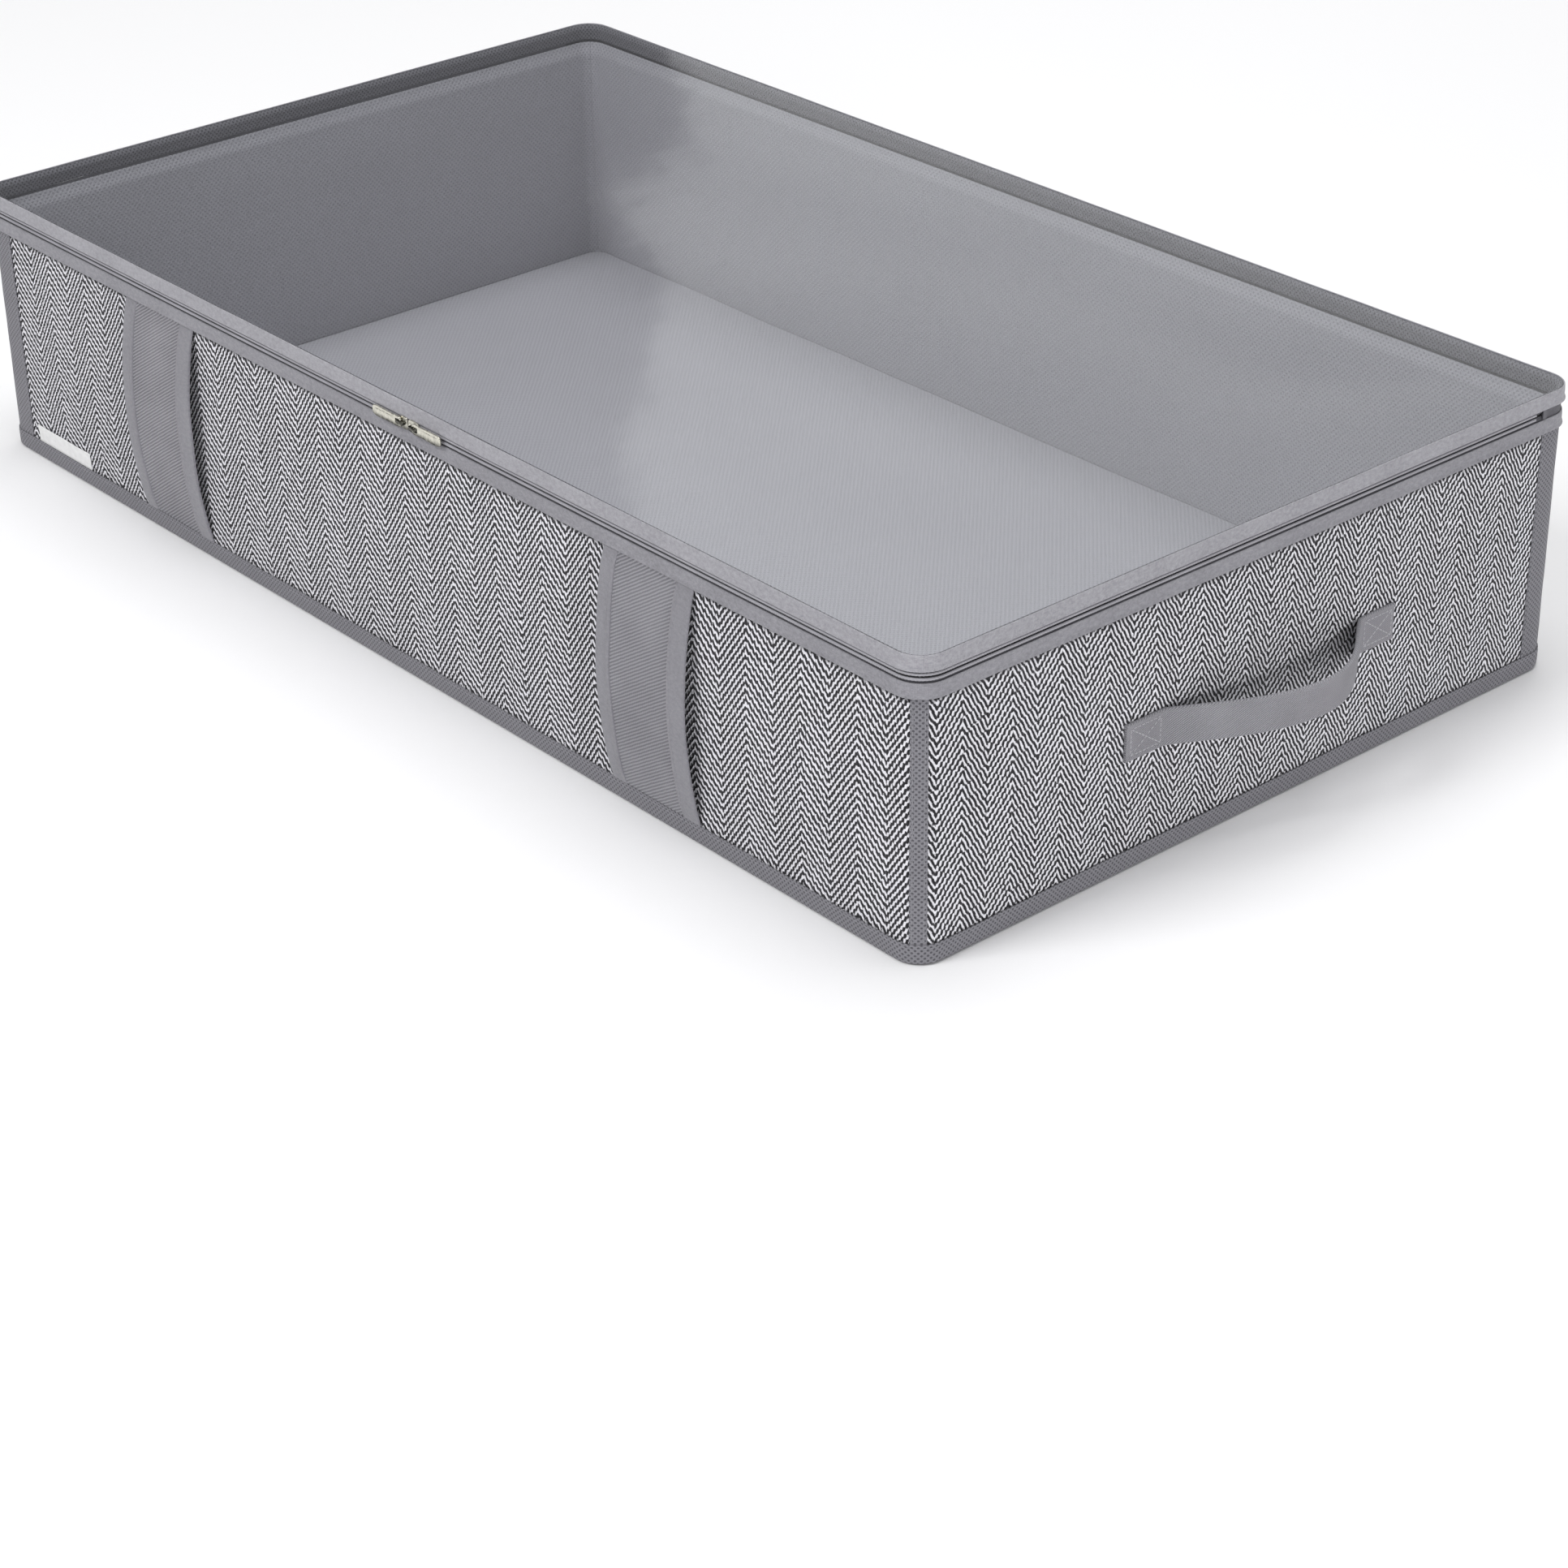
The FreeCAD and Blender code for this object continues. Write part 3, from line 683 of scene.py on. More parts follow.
def settle(piece, material, slot, body, *nodes):
    """Give a piece its finish and hide the CAD nodes that it stands for; attach it to its body, but only
    bake a piece of the fold in place.
    """
    piece.data.materials.append(material)
    if body == "fold":
        FOLD_Y + FOLD_REACH
        FOLD_Y - FOLD_REACH
        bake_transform(piece)
    else:
        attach(piece, body)
    if nodes:
        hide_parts(*nodes)
    return piece


def sew(name, rows, material=THREAD, nodes=(), **sizes):
    settle(stitching(name, rows, **sizes), material, "thread", "tub", *nodes)


# ---- tub

def wall_puff(side):
    """Depth of a wall's outer face: flat at the seams, a little full in the middle."""
    low, high = heights("front_panel")
    middle = middle_of(side)
    half = SIDES[side][1] / 2

    def depth(S, Z):
        up = np.minimum(Z - low, high - Z)
        along = half + 6 * MM - np.abs(S - middle)
        full = smooth(up, 4 * MM, 45 * MM) * smooth(along, 0, 70 * MM)
        pucker = np.sin(TAU * S / (7 * MM) + 2 * ripple(S, Z, 60, 3)) * np.exp(-up / (7 * MM))
        soft = ripple(S, Z, 170, 21) * smooth(up, 4 * MM, 25 * MM) * smooth(along, 0, 25 * MM)
        pinch = 0.35 * MM * smooth(Z, high - 7 * MM, high - 2 * MM)
        return 0.1 * MM + pinch - full * 0.9 * MM + 0.1 * MM * pucker + 0.28 * MM * soft

    return depth


# The rear wall and its lining are shaped on the front side and turned half round.
WALLS = (("left_end", "left", END_WEAVE, 0), ("right_end", "right", END_WEAVE, 0),
         ("front", "front", FRONT_WEAVE, 0), ("rear", "front", FRONT_WEAVE, math.pi))


def side_stations(side, step):
    """Distances along a side, from the middle of one corner to the middle of the next."""
    reach = SIDES[side][1] / 2 + ARC / 2 - 0.1 * MM
    return stations(middle_of(side) - reach, middle_of(side) + reach, step)


def build_walls():
    thickness = 0.9 * MM
    for place, side, weave, turn in WALLS:
        node = f"{place}_panel"
        puff = wall_puff(side)
        wall = wrap(f"{node}_cloth", side_stations(side, 2.6 * MM),
                    crosswise(*heights(node), 42, 0.3 * MM), puff,
                    lambda S, Z: puff(S, Z) * 0.5 + thickness)
        wall.data.transform(Matrix.Rotation(turn, 4, "Z"))
        settle(wall, weave, "woven_wall", "tub", node)


def build_linings():
    low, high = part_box("front_lining")
    outer = HALF_Y + low.y
    seam_depth = 1.3 * MM
    seam_height = heights("lower_zip_tape")[1] - 0.1 * MM
    for place, side, _, turn in WALLS:
        node = f"{place}_lining"

        # the top of the lining leans out over the board to the seam under the zip
        def outside(S, Z):
            return outer + (seam_depth - outer) * smooth(Z, high.z - 2 * MM, seam_height)

        def inside(S, Z):
            full = smooth(Z - low.z, 0, 30 * MM) * smooth(seam_height - Z, 2 * MM, 30 * MM)
            slack = 0.5 * MM + 0.45 * MM * ripple(S, Z, 130, 31 + len(side))
            return outside(S, Z) + 0.8 * MM + full * slack

        z = np.append(np.linspace(low.z, high.z - 3 * MM, 18),
                      np.linspace(high.z - 2 * MM, seam_height, 10))
        lining = wrap(f"{node}_cloth", side_stations(side, 7 * MM), z, outside, inside)
        lining.data.transform(Matrix.Rotation(turn, 4, "Z"))
        settle(lining, LINING, "lining", "tub", node)


def build_base():
    low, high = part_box("base_lining")
    depth = HALF_X - high.x
    lining = level_sheet("base_lining_cloth", depth,
                         lambda X, Y: high.z + 0.3 * MM + 0.35 * MM * ripple(X, Y, 160, 41),
                         lambda X, Y: low.z + 0 * X, 121)
    settle(lining, LINING, "lining", "tub", "base_lining")
    low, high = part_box("base_fabric")
    depth = HALF_X - high.x
    under = level_sheet("base_fabric_cloth", depth, lambda X, Y: high.z + 0 * X,
                        lambda X, Y: low.z + 0.1 * MM + 0.1 * MM * ripple(X, Y, 120, 43), 121)
    settle(under, BINDING, "lining", "tub", "base_fabric")


def build_bottom_binding():
    """An L-shaped tape: up the foot of the wall, round the bottom edge and in under the base."""
    top = heights("bottom_binding")[1]
    leg = HALF_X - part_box("base_fabric")[1].x - 0.2 * MM
    s = stations(0, AROUND, 3 * MM)
    t = np.linspace(0, 1, 7)
    turn = np.linspace(0, math.pi / 2, 6)
    round_edge = 1.4 * MM
    proud = 1.1 * MM
    # outer face from the top edge down, round the foot, then in along the underside
    face_depth = np.concatenate([-proud + 0 * t, -proud + round_edge * (1 - np.cos(turn)),
                                 np.linspace(round_edge, leg, 4)])
    face_height = np.concatenate([top - t * (top - round_edge), round_edge * (1 - np.sin(turn)), [0] * 4])
    back_depth = np.concatenate([-0.6 * MM + 0.5 * MM * smooth(t, 0.2, 0.6), -0.1 * MM + 0 * turn,
                                 np.linspace(0.2 * MM, leg, 4)])
    back_height = np.concatenate([top - t * (top - round_edge), np.linspace(1.3 * MM, 0.8 * MM, 6),
                                  [0.78 * MM] * 4])
    place, normal = outline(s)
    S, _ = np.meshgrid(s, face_depth, indexing="ij")
    run = np.append(0, np.cumsum(np.hypot(np.diff(face_depth), np.diff(face_height))))

    def lay(depth, height, bulge):
        upper = smooth(height, 1 * MM, 4 * MM)
        wave = 0.2 * MM * ripple(S, 0 * S, 55, 51) * upper[None, :]
        puff = bulge * (0.18 * MM * np.sin(math.pi * np.clip(height / top, 0, 1)))[None, :]
        edge = 0.25 * MM * ripple(S, 0 * S, 80, 52) * smooth(height, 6 * MM, top)[None, :]
        out = depth[None, :] - puff - wave * 0.4
        xy = place[:, None, :] - normal[:, None, :] * out[..., None]
        return np.dstack([xy, height[None, :] + edge + 0 * S])

    front = lay(face_depth, face_height, 1)[:, ::-1]
    back = lay(back_depth, back_height, 0)[:, ::-1]
    cloth = np.dstack([S, np.broadcast_to(run, S.shape), 0 * S])[:, ::-1]
    tape = closed_sheet("bottom_binding_tape", front, back, cloth)
    settle(tape, BINDING, "dotted_tape", "tub", "bottom_binding")
    sew("bottom_binding_stitches", [outline_row(s, top - 1.9 * MM, -proud - 0.12 * MM)])


def build_corner_bindings():
    low, high = heights("front_left_binding")
    half = CORNER * math.radians(17)
    wide = ARC / 2 + 12 * MM
    corners = {"front_left": ("front", half, wide), "front_right": ("right", half, half),
               "rear_right": ("rear_right", wide - 4 * MM, half), "rear_left": ("left", half, half)}
    for index, (name, (side_after, before, after)) in enumerate(corners.items()):
        middle = SIDES[side_after][0] - ARC / 2
        s = crosswise(middle - before, middle + after, 17, 0.35 * MM)
        z = np.linspace(low - 2 * MM, high + 1 * MM, 48)
        tape = wrap(f"{name}_binding_tape", s, z,
                    lambda S, Z: -0.62 * MM - 0.06 * MM * ripple(S, Z, 30, 61 + index),
                    -0.02 * MM, roll=0.35 * MM, roll_ends=True)
        settle(tape, BINDING, "dotted_tape", "tub", f"{name}_binding")
        rows = [outline_row(at, [low, high], -0.7 * MM)
                for at in (middle - before + 1.5 * MM, middle + after - 1.5 * MM)]
        sew(f"{name}_binding_stitches", rows)


# ---- rim and zip

def build_bands():
    """The two smooth bands of the rim, with closer stations over the fold."""
    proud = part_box("lower_rim_band")[1].x - HALF_X
    for name, node, seed in (("lower_rim_tape", "lower_rim_band", 71),
                             ("upper_rim_tape", "lid_upper_band", 72)):
        bottom, top = heights(node)
        if node == "lower_rim_band":
            top -= 0.35 * MM
        z = crosswise(bottom, top, 9, 0.4 * MM)

        def outer(S, Z):
            crown = 1 - (2 * (Z - bottom) / (top - bottom) - 1) ** 2
            lift = 0.9 * MM * smooth(bottom + 2.5 * MM - Z, 0, 2.5 * MM)
            return -proud - 0.22 * MM * crown - lift - 0.09 * MM * ripple(S, Z, 70, seed)

        s = stations(0.1 * MM, AROUND - 0.1 * MM, 4 * MM, fold=True)
        band = wrap(name, s, z, outer, lambda S, Z: outer(S, Z) + 0.8 * MM)
        if node == "lower_rim_band":
            settle(band, LOWER_BAND, "rim_band", "tub", node)
        else:
            settle(band, UPPER_BAND, "rim_band", "fold", node, "rear_upper_band")


def build_zip():
    left_end = at_y("left", FOLD_Y - 0.5 * MM)
    right_end = at_y("right", FOLD_Y - 0.5 * MM)
    behind = 3.8 * MM
    tape_s = stations(left_end - behind, right_end + behind, 8 * MM, fold=True)
    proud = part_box("lower_zip_tape")[1].x - HALF_X
    inner = 0.6 * MM - proud
    for level, body in (("lower", "tub"), ("upper", "fold")):
        node = f"{level}_zip_tape"
        tape = wrap(f"{level}_tape_cloth", tape_s, crosswise(*heights(node), 6, 0.2 * MM), -proud, inner)
        settle(tape, ZIP_SHADE, "zip_tape", body, node)
    # a strip behind the slit of the zip keeps light from showing through it; its dark colour is painted
    # shade, so that the slit looks dark as in shadow
    slit_low, slit_high = heights("lower_zip_tape")[1], heights("lid_inner_flap")[0]
    slit_shade_strip = wrap("zip_backing", tape_s, np.linspace(slit_low - 0.25 * MM, slit_high - 0.1 * MM, 4),
                   1.22 * MM, 1.62 * MM, roll=0.2 * MM)
    settle(slit_shade_strip, DARK_TAPE, "zip_tape", "tub")

    rear_z = crosswise(*heights("rear_rim_strip"), 8, 0.2 * MM)
    start = at_y("left", FOLD_Y + 3.6 * MM)
    end = at_y("right", FOLD_Y + 3.6 * MM)
    halves = [wrap("rear_strip_a", stations(0.1 * MM, start, 8 * MM), rear_z, -proud, inner),
              wrap("rear_strip_b", stations(end, AROUND - 0.1 * MM, 8 * MM), rear_z, -proud, inner)]
    settle(join("rear_strip_cloth", halves), DARK_TAPE, "zip_tape", "tub", "rear_rim_strip")

    pitch = 1.5 * MM
    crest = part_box("lower_zip_chain")[1].x - HALF_X
    coil_s = stations(left_end + 4 * MM, right_end - 4 * MM, pitch / 4)
    for node, body in (("lower_zip_chain", "tub"), ("upper_zip_chain", "lid")):
        low, high = heights(node)
        z = crosswise(low, high, 4, 0.35 * MM)

        def coil(S, Z):
            rib = 0.5 - 0.5 * np.cos(TAU * S / pitch)
            crown = 1 - (2 * (Z - low) / (high - low) - 1) ** 2
            return -crest + 0.32 * MM * rib + 0.35 * MM * (1 - crown)

        chain = wrap(f"{node}_coil", coil_s, z, coil, 1.15 * MM - crest, roll=0.35 * MM, roll_ends=True)
        settle(chain, COIL, "zip_coil", body, node)
    for node in ("left_zip_stop", "right_zip_stop"):
        low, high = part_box(node)
        loop = rounded(rectangle(low.y, high.y, low.z, high.z), 0.9 * MM)
        points, faces = stamped(node, [loop], high.x - low.x, 0.3 * MM)
        points = np.column_stack([points[:, 2] + (low.x + high.x) / 2, points[:, 0], points[:, 1]])
        stop = mesh_object(f"{node}_cap", points, faces, points)
        settle(stop, STOP, "zip_coil", "tub", node)


def build_flap():
    low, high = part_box("lid_inner_flap")
    depth = HALF_X - high.x
    s = stations(0.1 * MM, AROUND - 0.1 * MM, 5 * MM, fold=True)
    z = crosswise(low.z, high.z, 9, 0.3 * MM)

    def face(S, Z):
        free = smooth(high.z - Z, 1 * MM, 8 * MM)
        sewn = smooth(Z, high.z - 2.5 * MM, high.z)
        return depth - sewn * 1.3 * MM + free * 0.25 * MM * ripple(S, Z * 0.4, 90, 81)

    flap = wrap("rim_flap_cloth", s, z, face, lambda S, Z: face(S, Z) + 0.7 * MM)
    settle(flap, FLAP, "dotted_tape", "fold", "lid_inner_flap", "rear_inner_flap")


def build_window():
    low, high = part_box("lid_window")
    depth = HALF_X - high.x
    half_y = HALF_Y - depth

    def height(X, Y):
        edge = np.minimum(HALF_X - depth - np.abs(X), half_y - np.abs(Y))
        free = smooth(edge, 4 * MM, 120 * MM)
        return high.z - free * (1.6 * MM + 0.7 * MM * ripple(X, Y, 210, 91))

    fold_rows = FOLD_Y + np.linspace(-FOLD_REACH, FOLD_REACH, 15)
    sheet = level_sheet("window_sheet", depth, height, lambda X, Y: height(X, Y) - (high.z - low.z), 161,
                        fold_rows)
    settle(sheet, CLEAR, "clear_window", "fold", "lid_window", "rear_window_margin")


# ---- grips, handle, label

def build_grips():
    """Twill bands that bow off the wall, each with a plain tape folded round both edges."""
    low, high = heights("front_grip_left")
    for node in ("front_grip_left", "front_grip_right"):
        box_low, box_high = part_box(node)
        reach = -box_low.y - HALF_Y - 1.5 * MM
        middle = middle_of("front") + (box_low.x + box_high.x) / 2
        half = (box_high.x - box_low.x) / 2
        z = crosswise(low - 1.6 * MM, high + 1.2 * MM, 46, 0.3 * MM)

        def back(S, Z):
            t = np.clip((Z - low) / (high - low), 0, 1)
            across = (S - middle) / half
            arch = np.sin(math.pi * t) ** 0.85 * (1 - 0.05 * across ** 2)
            slack = 0.3 * MM * ripple(S, Z, 60, 101) * np.sin(math.pi * t)
            return -0.08 * MM - reach * arch - slack

        def free(Z):
            return smooth(np.minimum(Z - low, high - Z), 1 * MM, 9 * MM)

        s = crosswise(middle - half + 0.6 * MM, middle + half - 0.6 * MM, 33, 0.3 * MM)
        band = wrap(f"{node}_band", s, z, lambda S, Z: back(S, Z) - 0.45 * MM - 0.2 * MM * free(Z), back,
                    roll=0.3 * MM, roll_ends=True)
        settle(band, GRIP, "webbing", "tub", node)

        rows = []
        for side, hem in ((-1, 10.5 * MM), (1, 12.5 * MM)):
            edge = middle + side * half
            inner_edge = edge - side * hem
            s = crosswise(min(edge, inner_edge), max(edge, inner_edge), 12, 0.35 * MM)
            swell = 0.35 * MM

            def over(S, Z):
                bead = bell(np.abs(S - inner_edge), 1.1 * MM, 0.8 * MM) * swell
                return back(S, Z) - 0.8 * MM - free(Z) * (0.6 * MM + bead)

            tape = wrap(f"{node}_hem_{'left' if side < 0 else 'right'}", s, z, over,
                        lambda S, Z: back(S, Z) + 0.15 * MM, roll=0.35 * MM, roll_ends=True)
            settle(tape, HEM, "webbing", "tub")
            at = inner_edge + side * 2.6 * MM
            levels = np.linspace(low + 2 * MM, high - 2 * MM, 60)
            rows.append(outline_row(at, levels, over(at, levels) - 0.04 * MM))
        sew(f"{node}_stitches", rows, thread=0.34 * MM)


def bezier(start, start_pull, end_pull, end, count):
    t = np.linspace(0, 1, count)[:, None]
    pulls = [np.array(point, float) for point in (start, start_pull, end_pull, end)]
    return ((1 - t) ** 3 * pulls[0] + 3 * (1 - t) ** 2 * t * pulls[1]
            + 3 * (1 - t) * t ** 2 * pulls[2] + t ** 3 * pulls[3])


def even_path(path, spacing, blur):
    """The path at even spacing, its corners softened over about blur."""
    run = distances(path)
    fine = 0.25 * MM
    dense = sample(np.arange(0, run[-1], fine), run, path)
    reach = int(3 * blur / fine)
    weight = np.exp(-0.5 * (np.arange(-reach, reach + 1) * fine / blur) ** 2)
    weight /= weight.sum()
    padded = np.concatenate([[dense[0]] * reach, dense, [dense[-1]] * reach])
    soft = np.column_stack([np.convolve(column, weight, "valid") for column in padded.T])
    soft[0] = dense[0]
    soft[-1] = dense[-1]
    return soft[:: int(spacing / fine)]


def build_handle():
    """One strap: sewn tab, a slack loop that leans to the rear, sewn tab."""
    front_low, front_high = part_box("handle_front_tab")
    middle_z = (front_low.z + front_high.z) / 2
    width = front_high.z - front_low.z
    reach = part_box("handle_loop")[1].x - HALF_X - 1.4 * MM
    thickness = 1.5 * MM
    lie = 1.75 * MM
    tab = 26 * MM
    first, last = front_low.y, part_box("handle_rear_tab")[1].y
    apex = (13 * MM, reach)
    foot, heel = (first + tab, lie), (last - tab, lie)
    plan = np.concatenate([
        [(first, lie), (foot[0] - 1 * MM, lie)],
        bezier(foot, (foot[0] + 16 * MM, lie + 9 * MM), (apex[0] - 26 * MM, reach), apex, 60)[1:],
        bezier(apex, (apex[0] + 26 * MM, reach), (heel[0] - 17 * MM, lie + 12 * MM), heel, 60)[1:],
        [(heel[0] + 1 * MM, lie), (last, lie)]])
    plan = even_path(plan, 1.25 * MM, 1.4 * MM)
    y, out = plan[:, 0], plan[:, 1]
    droop = 2.5 * MM * smooth(out, 4 * MM, reach)
    path = np.column_stack([HALF_X + out, y, middle_z - droop])
    along = unit(np.gradient(path, axis=0))
    lean = math.radians(3) * smooth(out, 6 * MM, reach)
    flat_out = unit(np.cross(along, [0, 0, 1]))
    across = np.array([0, 0, 1]) * np.cos(lean)[:, None] + flat_out * np.sin(lean)[:, None]
    face = np.cross(along, across)
    strap = ribbon("handle_strap", path, across, face, width, thickness, columns=25, selvedge=0.5)
    strap.data.materials.append(STRAP)
    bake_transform(strap)
    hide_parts("handle_front_tab", "handle_loop", "handle_rear_tab")

    face_x = HALF_X + lie + thickness / 2 + 0.06 * MM
    inset = 3 * MM
    for node, start in (("front_tab_stitching", first), ("rear_tab_stitching", last - tab)):
        near, far = start + inset, start + tab - inset
        foot_z, head_z = middle_z - width / 2 + inset, middle_z + width / 2 - inset
        corners = [(near, foot_z), (far, foot_z), (far, head_z), (near, head_z), (near, foot_z)]
        lines = list(zip(corners, corners[1:])) + [(corners[0], corners[2]), (corners[1], corners[3])]
        outward = np.array([(1, 0, 0)] * 2)
        rows = [(np.array([(face_x, *a), (face_x, *b)]), outward) for a, b in lines]
        sew(f"{node}_thread", rows, TAB_THREAD, [node], length=2.2 * MM, gap=0.5 * MM, thread=0.55 * MM)


def build_label():
    low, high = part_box("blank_label")
    s = crosswise(middle_of("front") + low.x, middle_of("front") + high.x, 40, 0.3 * MM)
    z = crosswise(low.z - 0.8 * MM, high.z, 12, 0.2 * MM)
    puff = wall_puff("front")

    def inner(S, Z):
        lift = 0.35 * MM * smooth(Z, low.z + 4 * MM, high.z) * (1 + 0.6 * ripple(S, Z, 30, 111))
        return puff(S, Z) - 0.12 * MM - lift

    label = wrap("blank_label_satin", s, z, lambda S, Z: inner(S, Z) - 0.3 * MM, inner, roll=0.2 * MM,
                 roll_ends=True)
    settle(label, SATIN, "label", "tub", "blank_label")


# ---- sliders

def join(name, pieces):
    """Several pieces as one."""
    points, faces, cloth = [], [], []
    for piece in pieces:
        shift = sum(len(part) for part in points)
        points.append(np.array([vertex.co for vertex in piece.data.vertices]))
        faces += [[shift + index for index in polygon.vertices] for polygon in piece.data.polygons]
        layer = piece.data.attributes["cloth"].data
        values = np.zeros(len(layer) * 3)
        layer.foreach_get("vector", values)
        cloth.append(values.reshape(-1, 3))
        bpy.data.objects.remove(piece)
    return mesh_object(name, np.concatenate(points), faces, np.concatenate(cloth))


def upright(name, loops, thickness, bevel, front):
    """A stamped plate standing in the zip's plane, its outer face at depth front."""
    points, faces = stamped(name, loops, thickness, bevel)
    y = -HALF_Y + front + thickness / 2 - points[:, 2]
    return mesh_object(name, np.column_stack([points[:, 0], y, points[:, 1]]), faces, points)


def build_slider(side, sign):
    """Slider with a shield-shaped plate and an arched bridge; the pull's bar turns under it."""
    low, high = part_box(f"{side}_slider")
    length = high.x - low.x
    nose = min(abs(low.x - SLIDERS_MEET), abs(high.x - SLIDERS_MEET))
    zip_z = (low.z + high.z) / 2
    half = (high.z - low.z) / 2
    tail = nose + length

    def ring(corners, radius):
        loop = rounded([(SLIDERS_MEET + sign * x, zip_z + z) for x, z in corners], radius)
        return loop if sign > 0 else loop[::-1]

    def even_ring(upper, radius):
        """A ring that is the same above and below the zip's middle line."""
        lower = [(x, -z) for x, z in reversed(upper)]
        return ring(lower[-1:] + upper + lower[:-1], radius)

    shield = even_ring([(tail, 0.68 * half), (nose + 0.4 * length, half), (nose, 0.85 * half)], 1.2 * MM)
    front = -(3.0 * MM)
    plate = upright("slider_plate", [shield], 0.95 * MM, 0.3 * MM, front)
    ridge = even_ring([(tail - 1 * MM, 0.38 * half), (nose + 0.8 * MM, 0.5 * half)], 0.8 * MM)
    crest = upright("slider_crest", [ridge], 0.5 * MM, 0.2 * MM, front - 0.12 * MM)
    back = upright("slider_back", [shield], 0.8 * MM, 0.25 * MM, 0.4 * MM)
    web = ring(rectangle(nose + 0.8 * MM, nose + 5.6 * MM, -0.24 * MM, 0.24 * MM), 0.1 * MM)
    core = upright("slider_web", [web], 2.6 * MM, 0.05 * MM, -2.1 * MM)
    steps = 21
    turn = np.linspace(0, math.pi, steps)
    start, end = nose + 1.9 * MM, nose + 8.2 * MM
    # a flat-topped arch: a circle with its cosine and sine pushed outwards
    square = 0.45
    span = (end - start - 0.8 * MM) / 2
    arch_x = (start + end) / 2 - span * np.sign(np.cos(turn)) * np.abs(np.cos(turn)) ** square
    rise = 1.95 * MM * np.abs(np.sin(turn)) ** square
    path = np.column_stack([SLIDERS_MEET + sign * arch_x, -HALF_Y + front - rise + 0.2 * MM,
                            np.full(steps, zip_z)])
    along = unit(np.gradient(path, axis=0))
    across = np.array([[0, 0, 1.0]] * steps) * sign
    bridge = ribbon("slider_bridge", path, across, np.cross(along, across), 1.6 * MM, 0.7 * MM,
                    columns=5, roll=0.3 * MM)
    slider = join(f"{side}_slider_metal", [plate, crest, back, core, bridge])
    settle(slider, METAL, "zip_metal", f"{side}_slider", f"{side}_slider")

    low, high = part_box(f"{side}_pull")
    head, tip = sorted((abs(low.x - SLIDERS_MEET), abs(high.x - SLIDERS_MEET)))
    half = (high.z - low.z) / 2
    body = even_ring([(tip, 0.72 * half), (tip - 3 * MM, half), (head + 7 * MM, 0.9 * half),
                      (head + 3 * MM, half), (head, 0.8 * half)], 1.3 * MM)
    eye = ring(rectangle(head + 1 * MM, head + 4.6 * MM, -1.3 * MM, 1.3 * MM), 0.6 * MM)
    depth = low.y + HALF_Y
    blade = upright("pull_blade", [body, eye], high.y - low.y, 0.22 * MM, depth)
    panel = even_ring([(tip - 2 * MM, 0.45 * half), (head + 8 * MM, 0.5 * half)], 0.8 * MM)
    plaque = upright("pull_plaque", [panel], 0.4 * MM, 0.15 * MM, depth - 0.15 * MM)
    pull = join(f"{side}_pull_metal", [blade, plaque])
    settle(pull, METAL, "zip_metal", f"{side}_pull", f"{side}_pull")


# ---- room

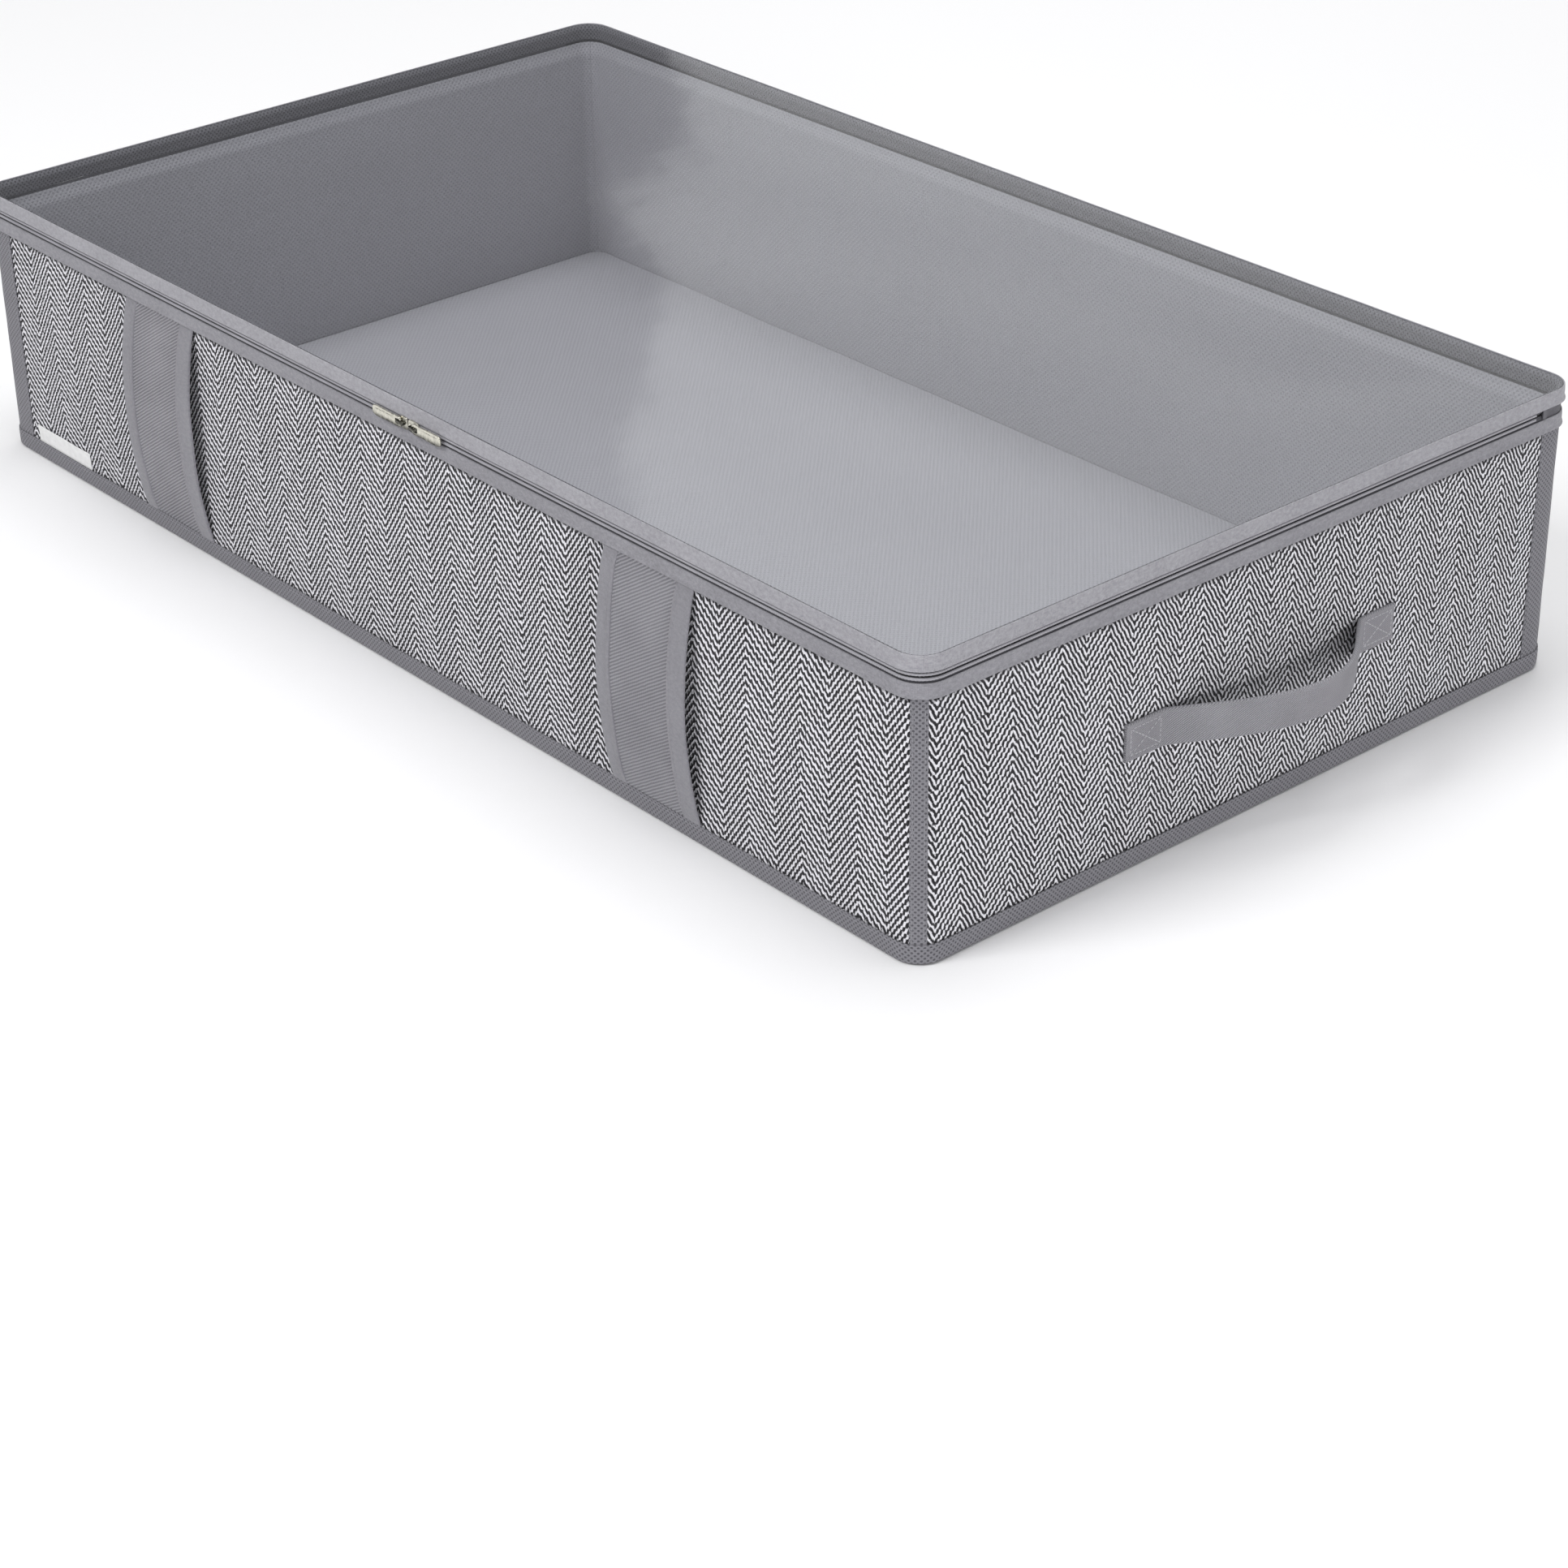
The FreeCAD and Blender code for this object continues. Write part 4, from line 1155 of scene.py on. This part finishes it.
def build_room():
    size = 14.0
    below_box = -0.5 * MM
    # a hole that the box covers lets light reach its underside
    hole_x, hole_y = HALF_X - 25 * MM, HALF_Y - 25 * MM
    corners = rectangle(-size, size, -size, size) + rectangle(-hole_x, hole_x, -hole_y, hole_y)
    faces = [(i, (i + 1) % 4, 4 + (i + 1) % 4, 4 + i) for i in range(4)]
    floor = mesh_object("floor", [(x, y, below_box) for x, y in corners], faces)
    floor_paint, tree = node_material("pale_floor")
    shader = tree.nodes["Principled BSDF"]
    shader.inputs["Base Color"].default_value = (0.93, 0.93, 0.94, 1)
    shader.inputs["Roughness"].default_value = 0.8
    # The floor is clear from below, so that the underside of the box can be looked at, and it
    # fades into the backdrop far from the box.
    geometry = add_node(tree, "NewGeometry")
    x, y, _ = split(geometry.outputs["Position"])
    far = (x * x + y * y).ramp(2.5, 9)
    hidden = Field(geometry.outputs["Backfacing"]).do("MAXIMUM", far)
    mix_shaders(tree, hidden, shader, add_node(tree, "BsdfTransparent"))
    floor.data.materials.append(floor_paint)

    world = bpy.data.worlds.new("studio")
    bpy.context.scene.world = world
    world.use_nodes = True
    tree = world.node_tree
    background = tree.nodes["Background"]
    background.inputs["Strength"].default_value = 0.46
    # paler above, dimmer below, so that metal and plastic have something to mirror
    height = split(add_node(tree, "TexCoord").outputs["Generated"])[2].ramp(-0.25, 0.75) * 0.62 + 0.38
    # the backdrop itself looks pale
    seen = Field(add_node(tree, "LightPath").outputs["Is Camera Ray"])
    link(height + seen * 1.6, background.inputs["Color"])

    def lamp(name, place, size, power):
        light = bpy.data.lights.new(name, "AREA")
        light.size = size
        light.energy = power
        holder = add_object(name, light)
        holder.location = place
        aim = Vector((0, 0, 0.05)) - Vector(place)
        holder.rotation_euler = aim.to_track_quat("-Z", "Y").to_euler()

    lamp("key", (-0.3, -2.3, 2.5), 1.1, 50)
    lamp("side", (2.9, -0.7, 0.42), 0.45, 26)
    lamp("top", (0.2, 0.4, 3.2), 2.2, 42)
    lamp("rear_fill", (-1.8, 2.6, 1.5), 2.0, 16)


def build_camera():
    """Looks down on the near corner: front to the left, handle end to the right."""
    azimuth, elevation = math.radians(49.46), math.radians(29.64)
    distance = 2.1
    roll = math.radians(-0.83)
    aim = Vector((0.0376, 0.0065, -0.1431))
    back = Vector((math.sin(azimuth) * math.cos(elevation), -math.cos(azimuth) * math.cos(elevation),
                   math.sin(elevation)))
    data = bpy.data.cameras.new("photo_view")
    data.lens = 83.4
    data.sensor_width = 36
    camera = add_object("photo_view", data)
    turn = back.to_track_quat("Z", "Y")
    camera.matrix_world = (Matrix.Translation(aim + back * distance) @ turn.to_matrix().to_4x4()
                           @ Matrix.Rotation(roll, 4, "Z"))
    bpy.context.scene.camera = camera
    bpy.context.scene.view_settings.view_transform = "Standard"


for node in frame["nodes"]:
    if node.endswith("_board"):
        board = frame["nodes"][node]
        board.data.materials.clear()
        board.data.materials.append(BOARD)
build_walls()
build_linings()
build_base()
build_bottom_binding()
build_corner_bindings()
build_bands()
build_zip()
build_flap()
build_window()
build_grips()
build_handle()
build_label()
build_slider("left", -1)
build_slider("right", 1)
build_room()
build_camera()
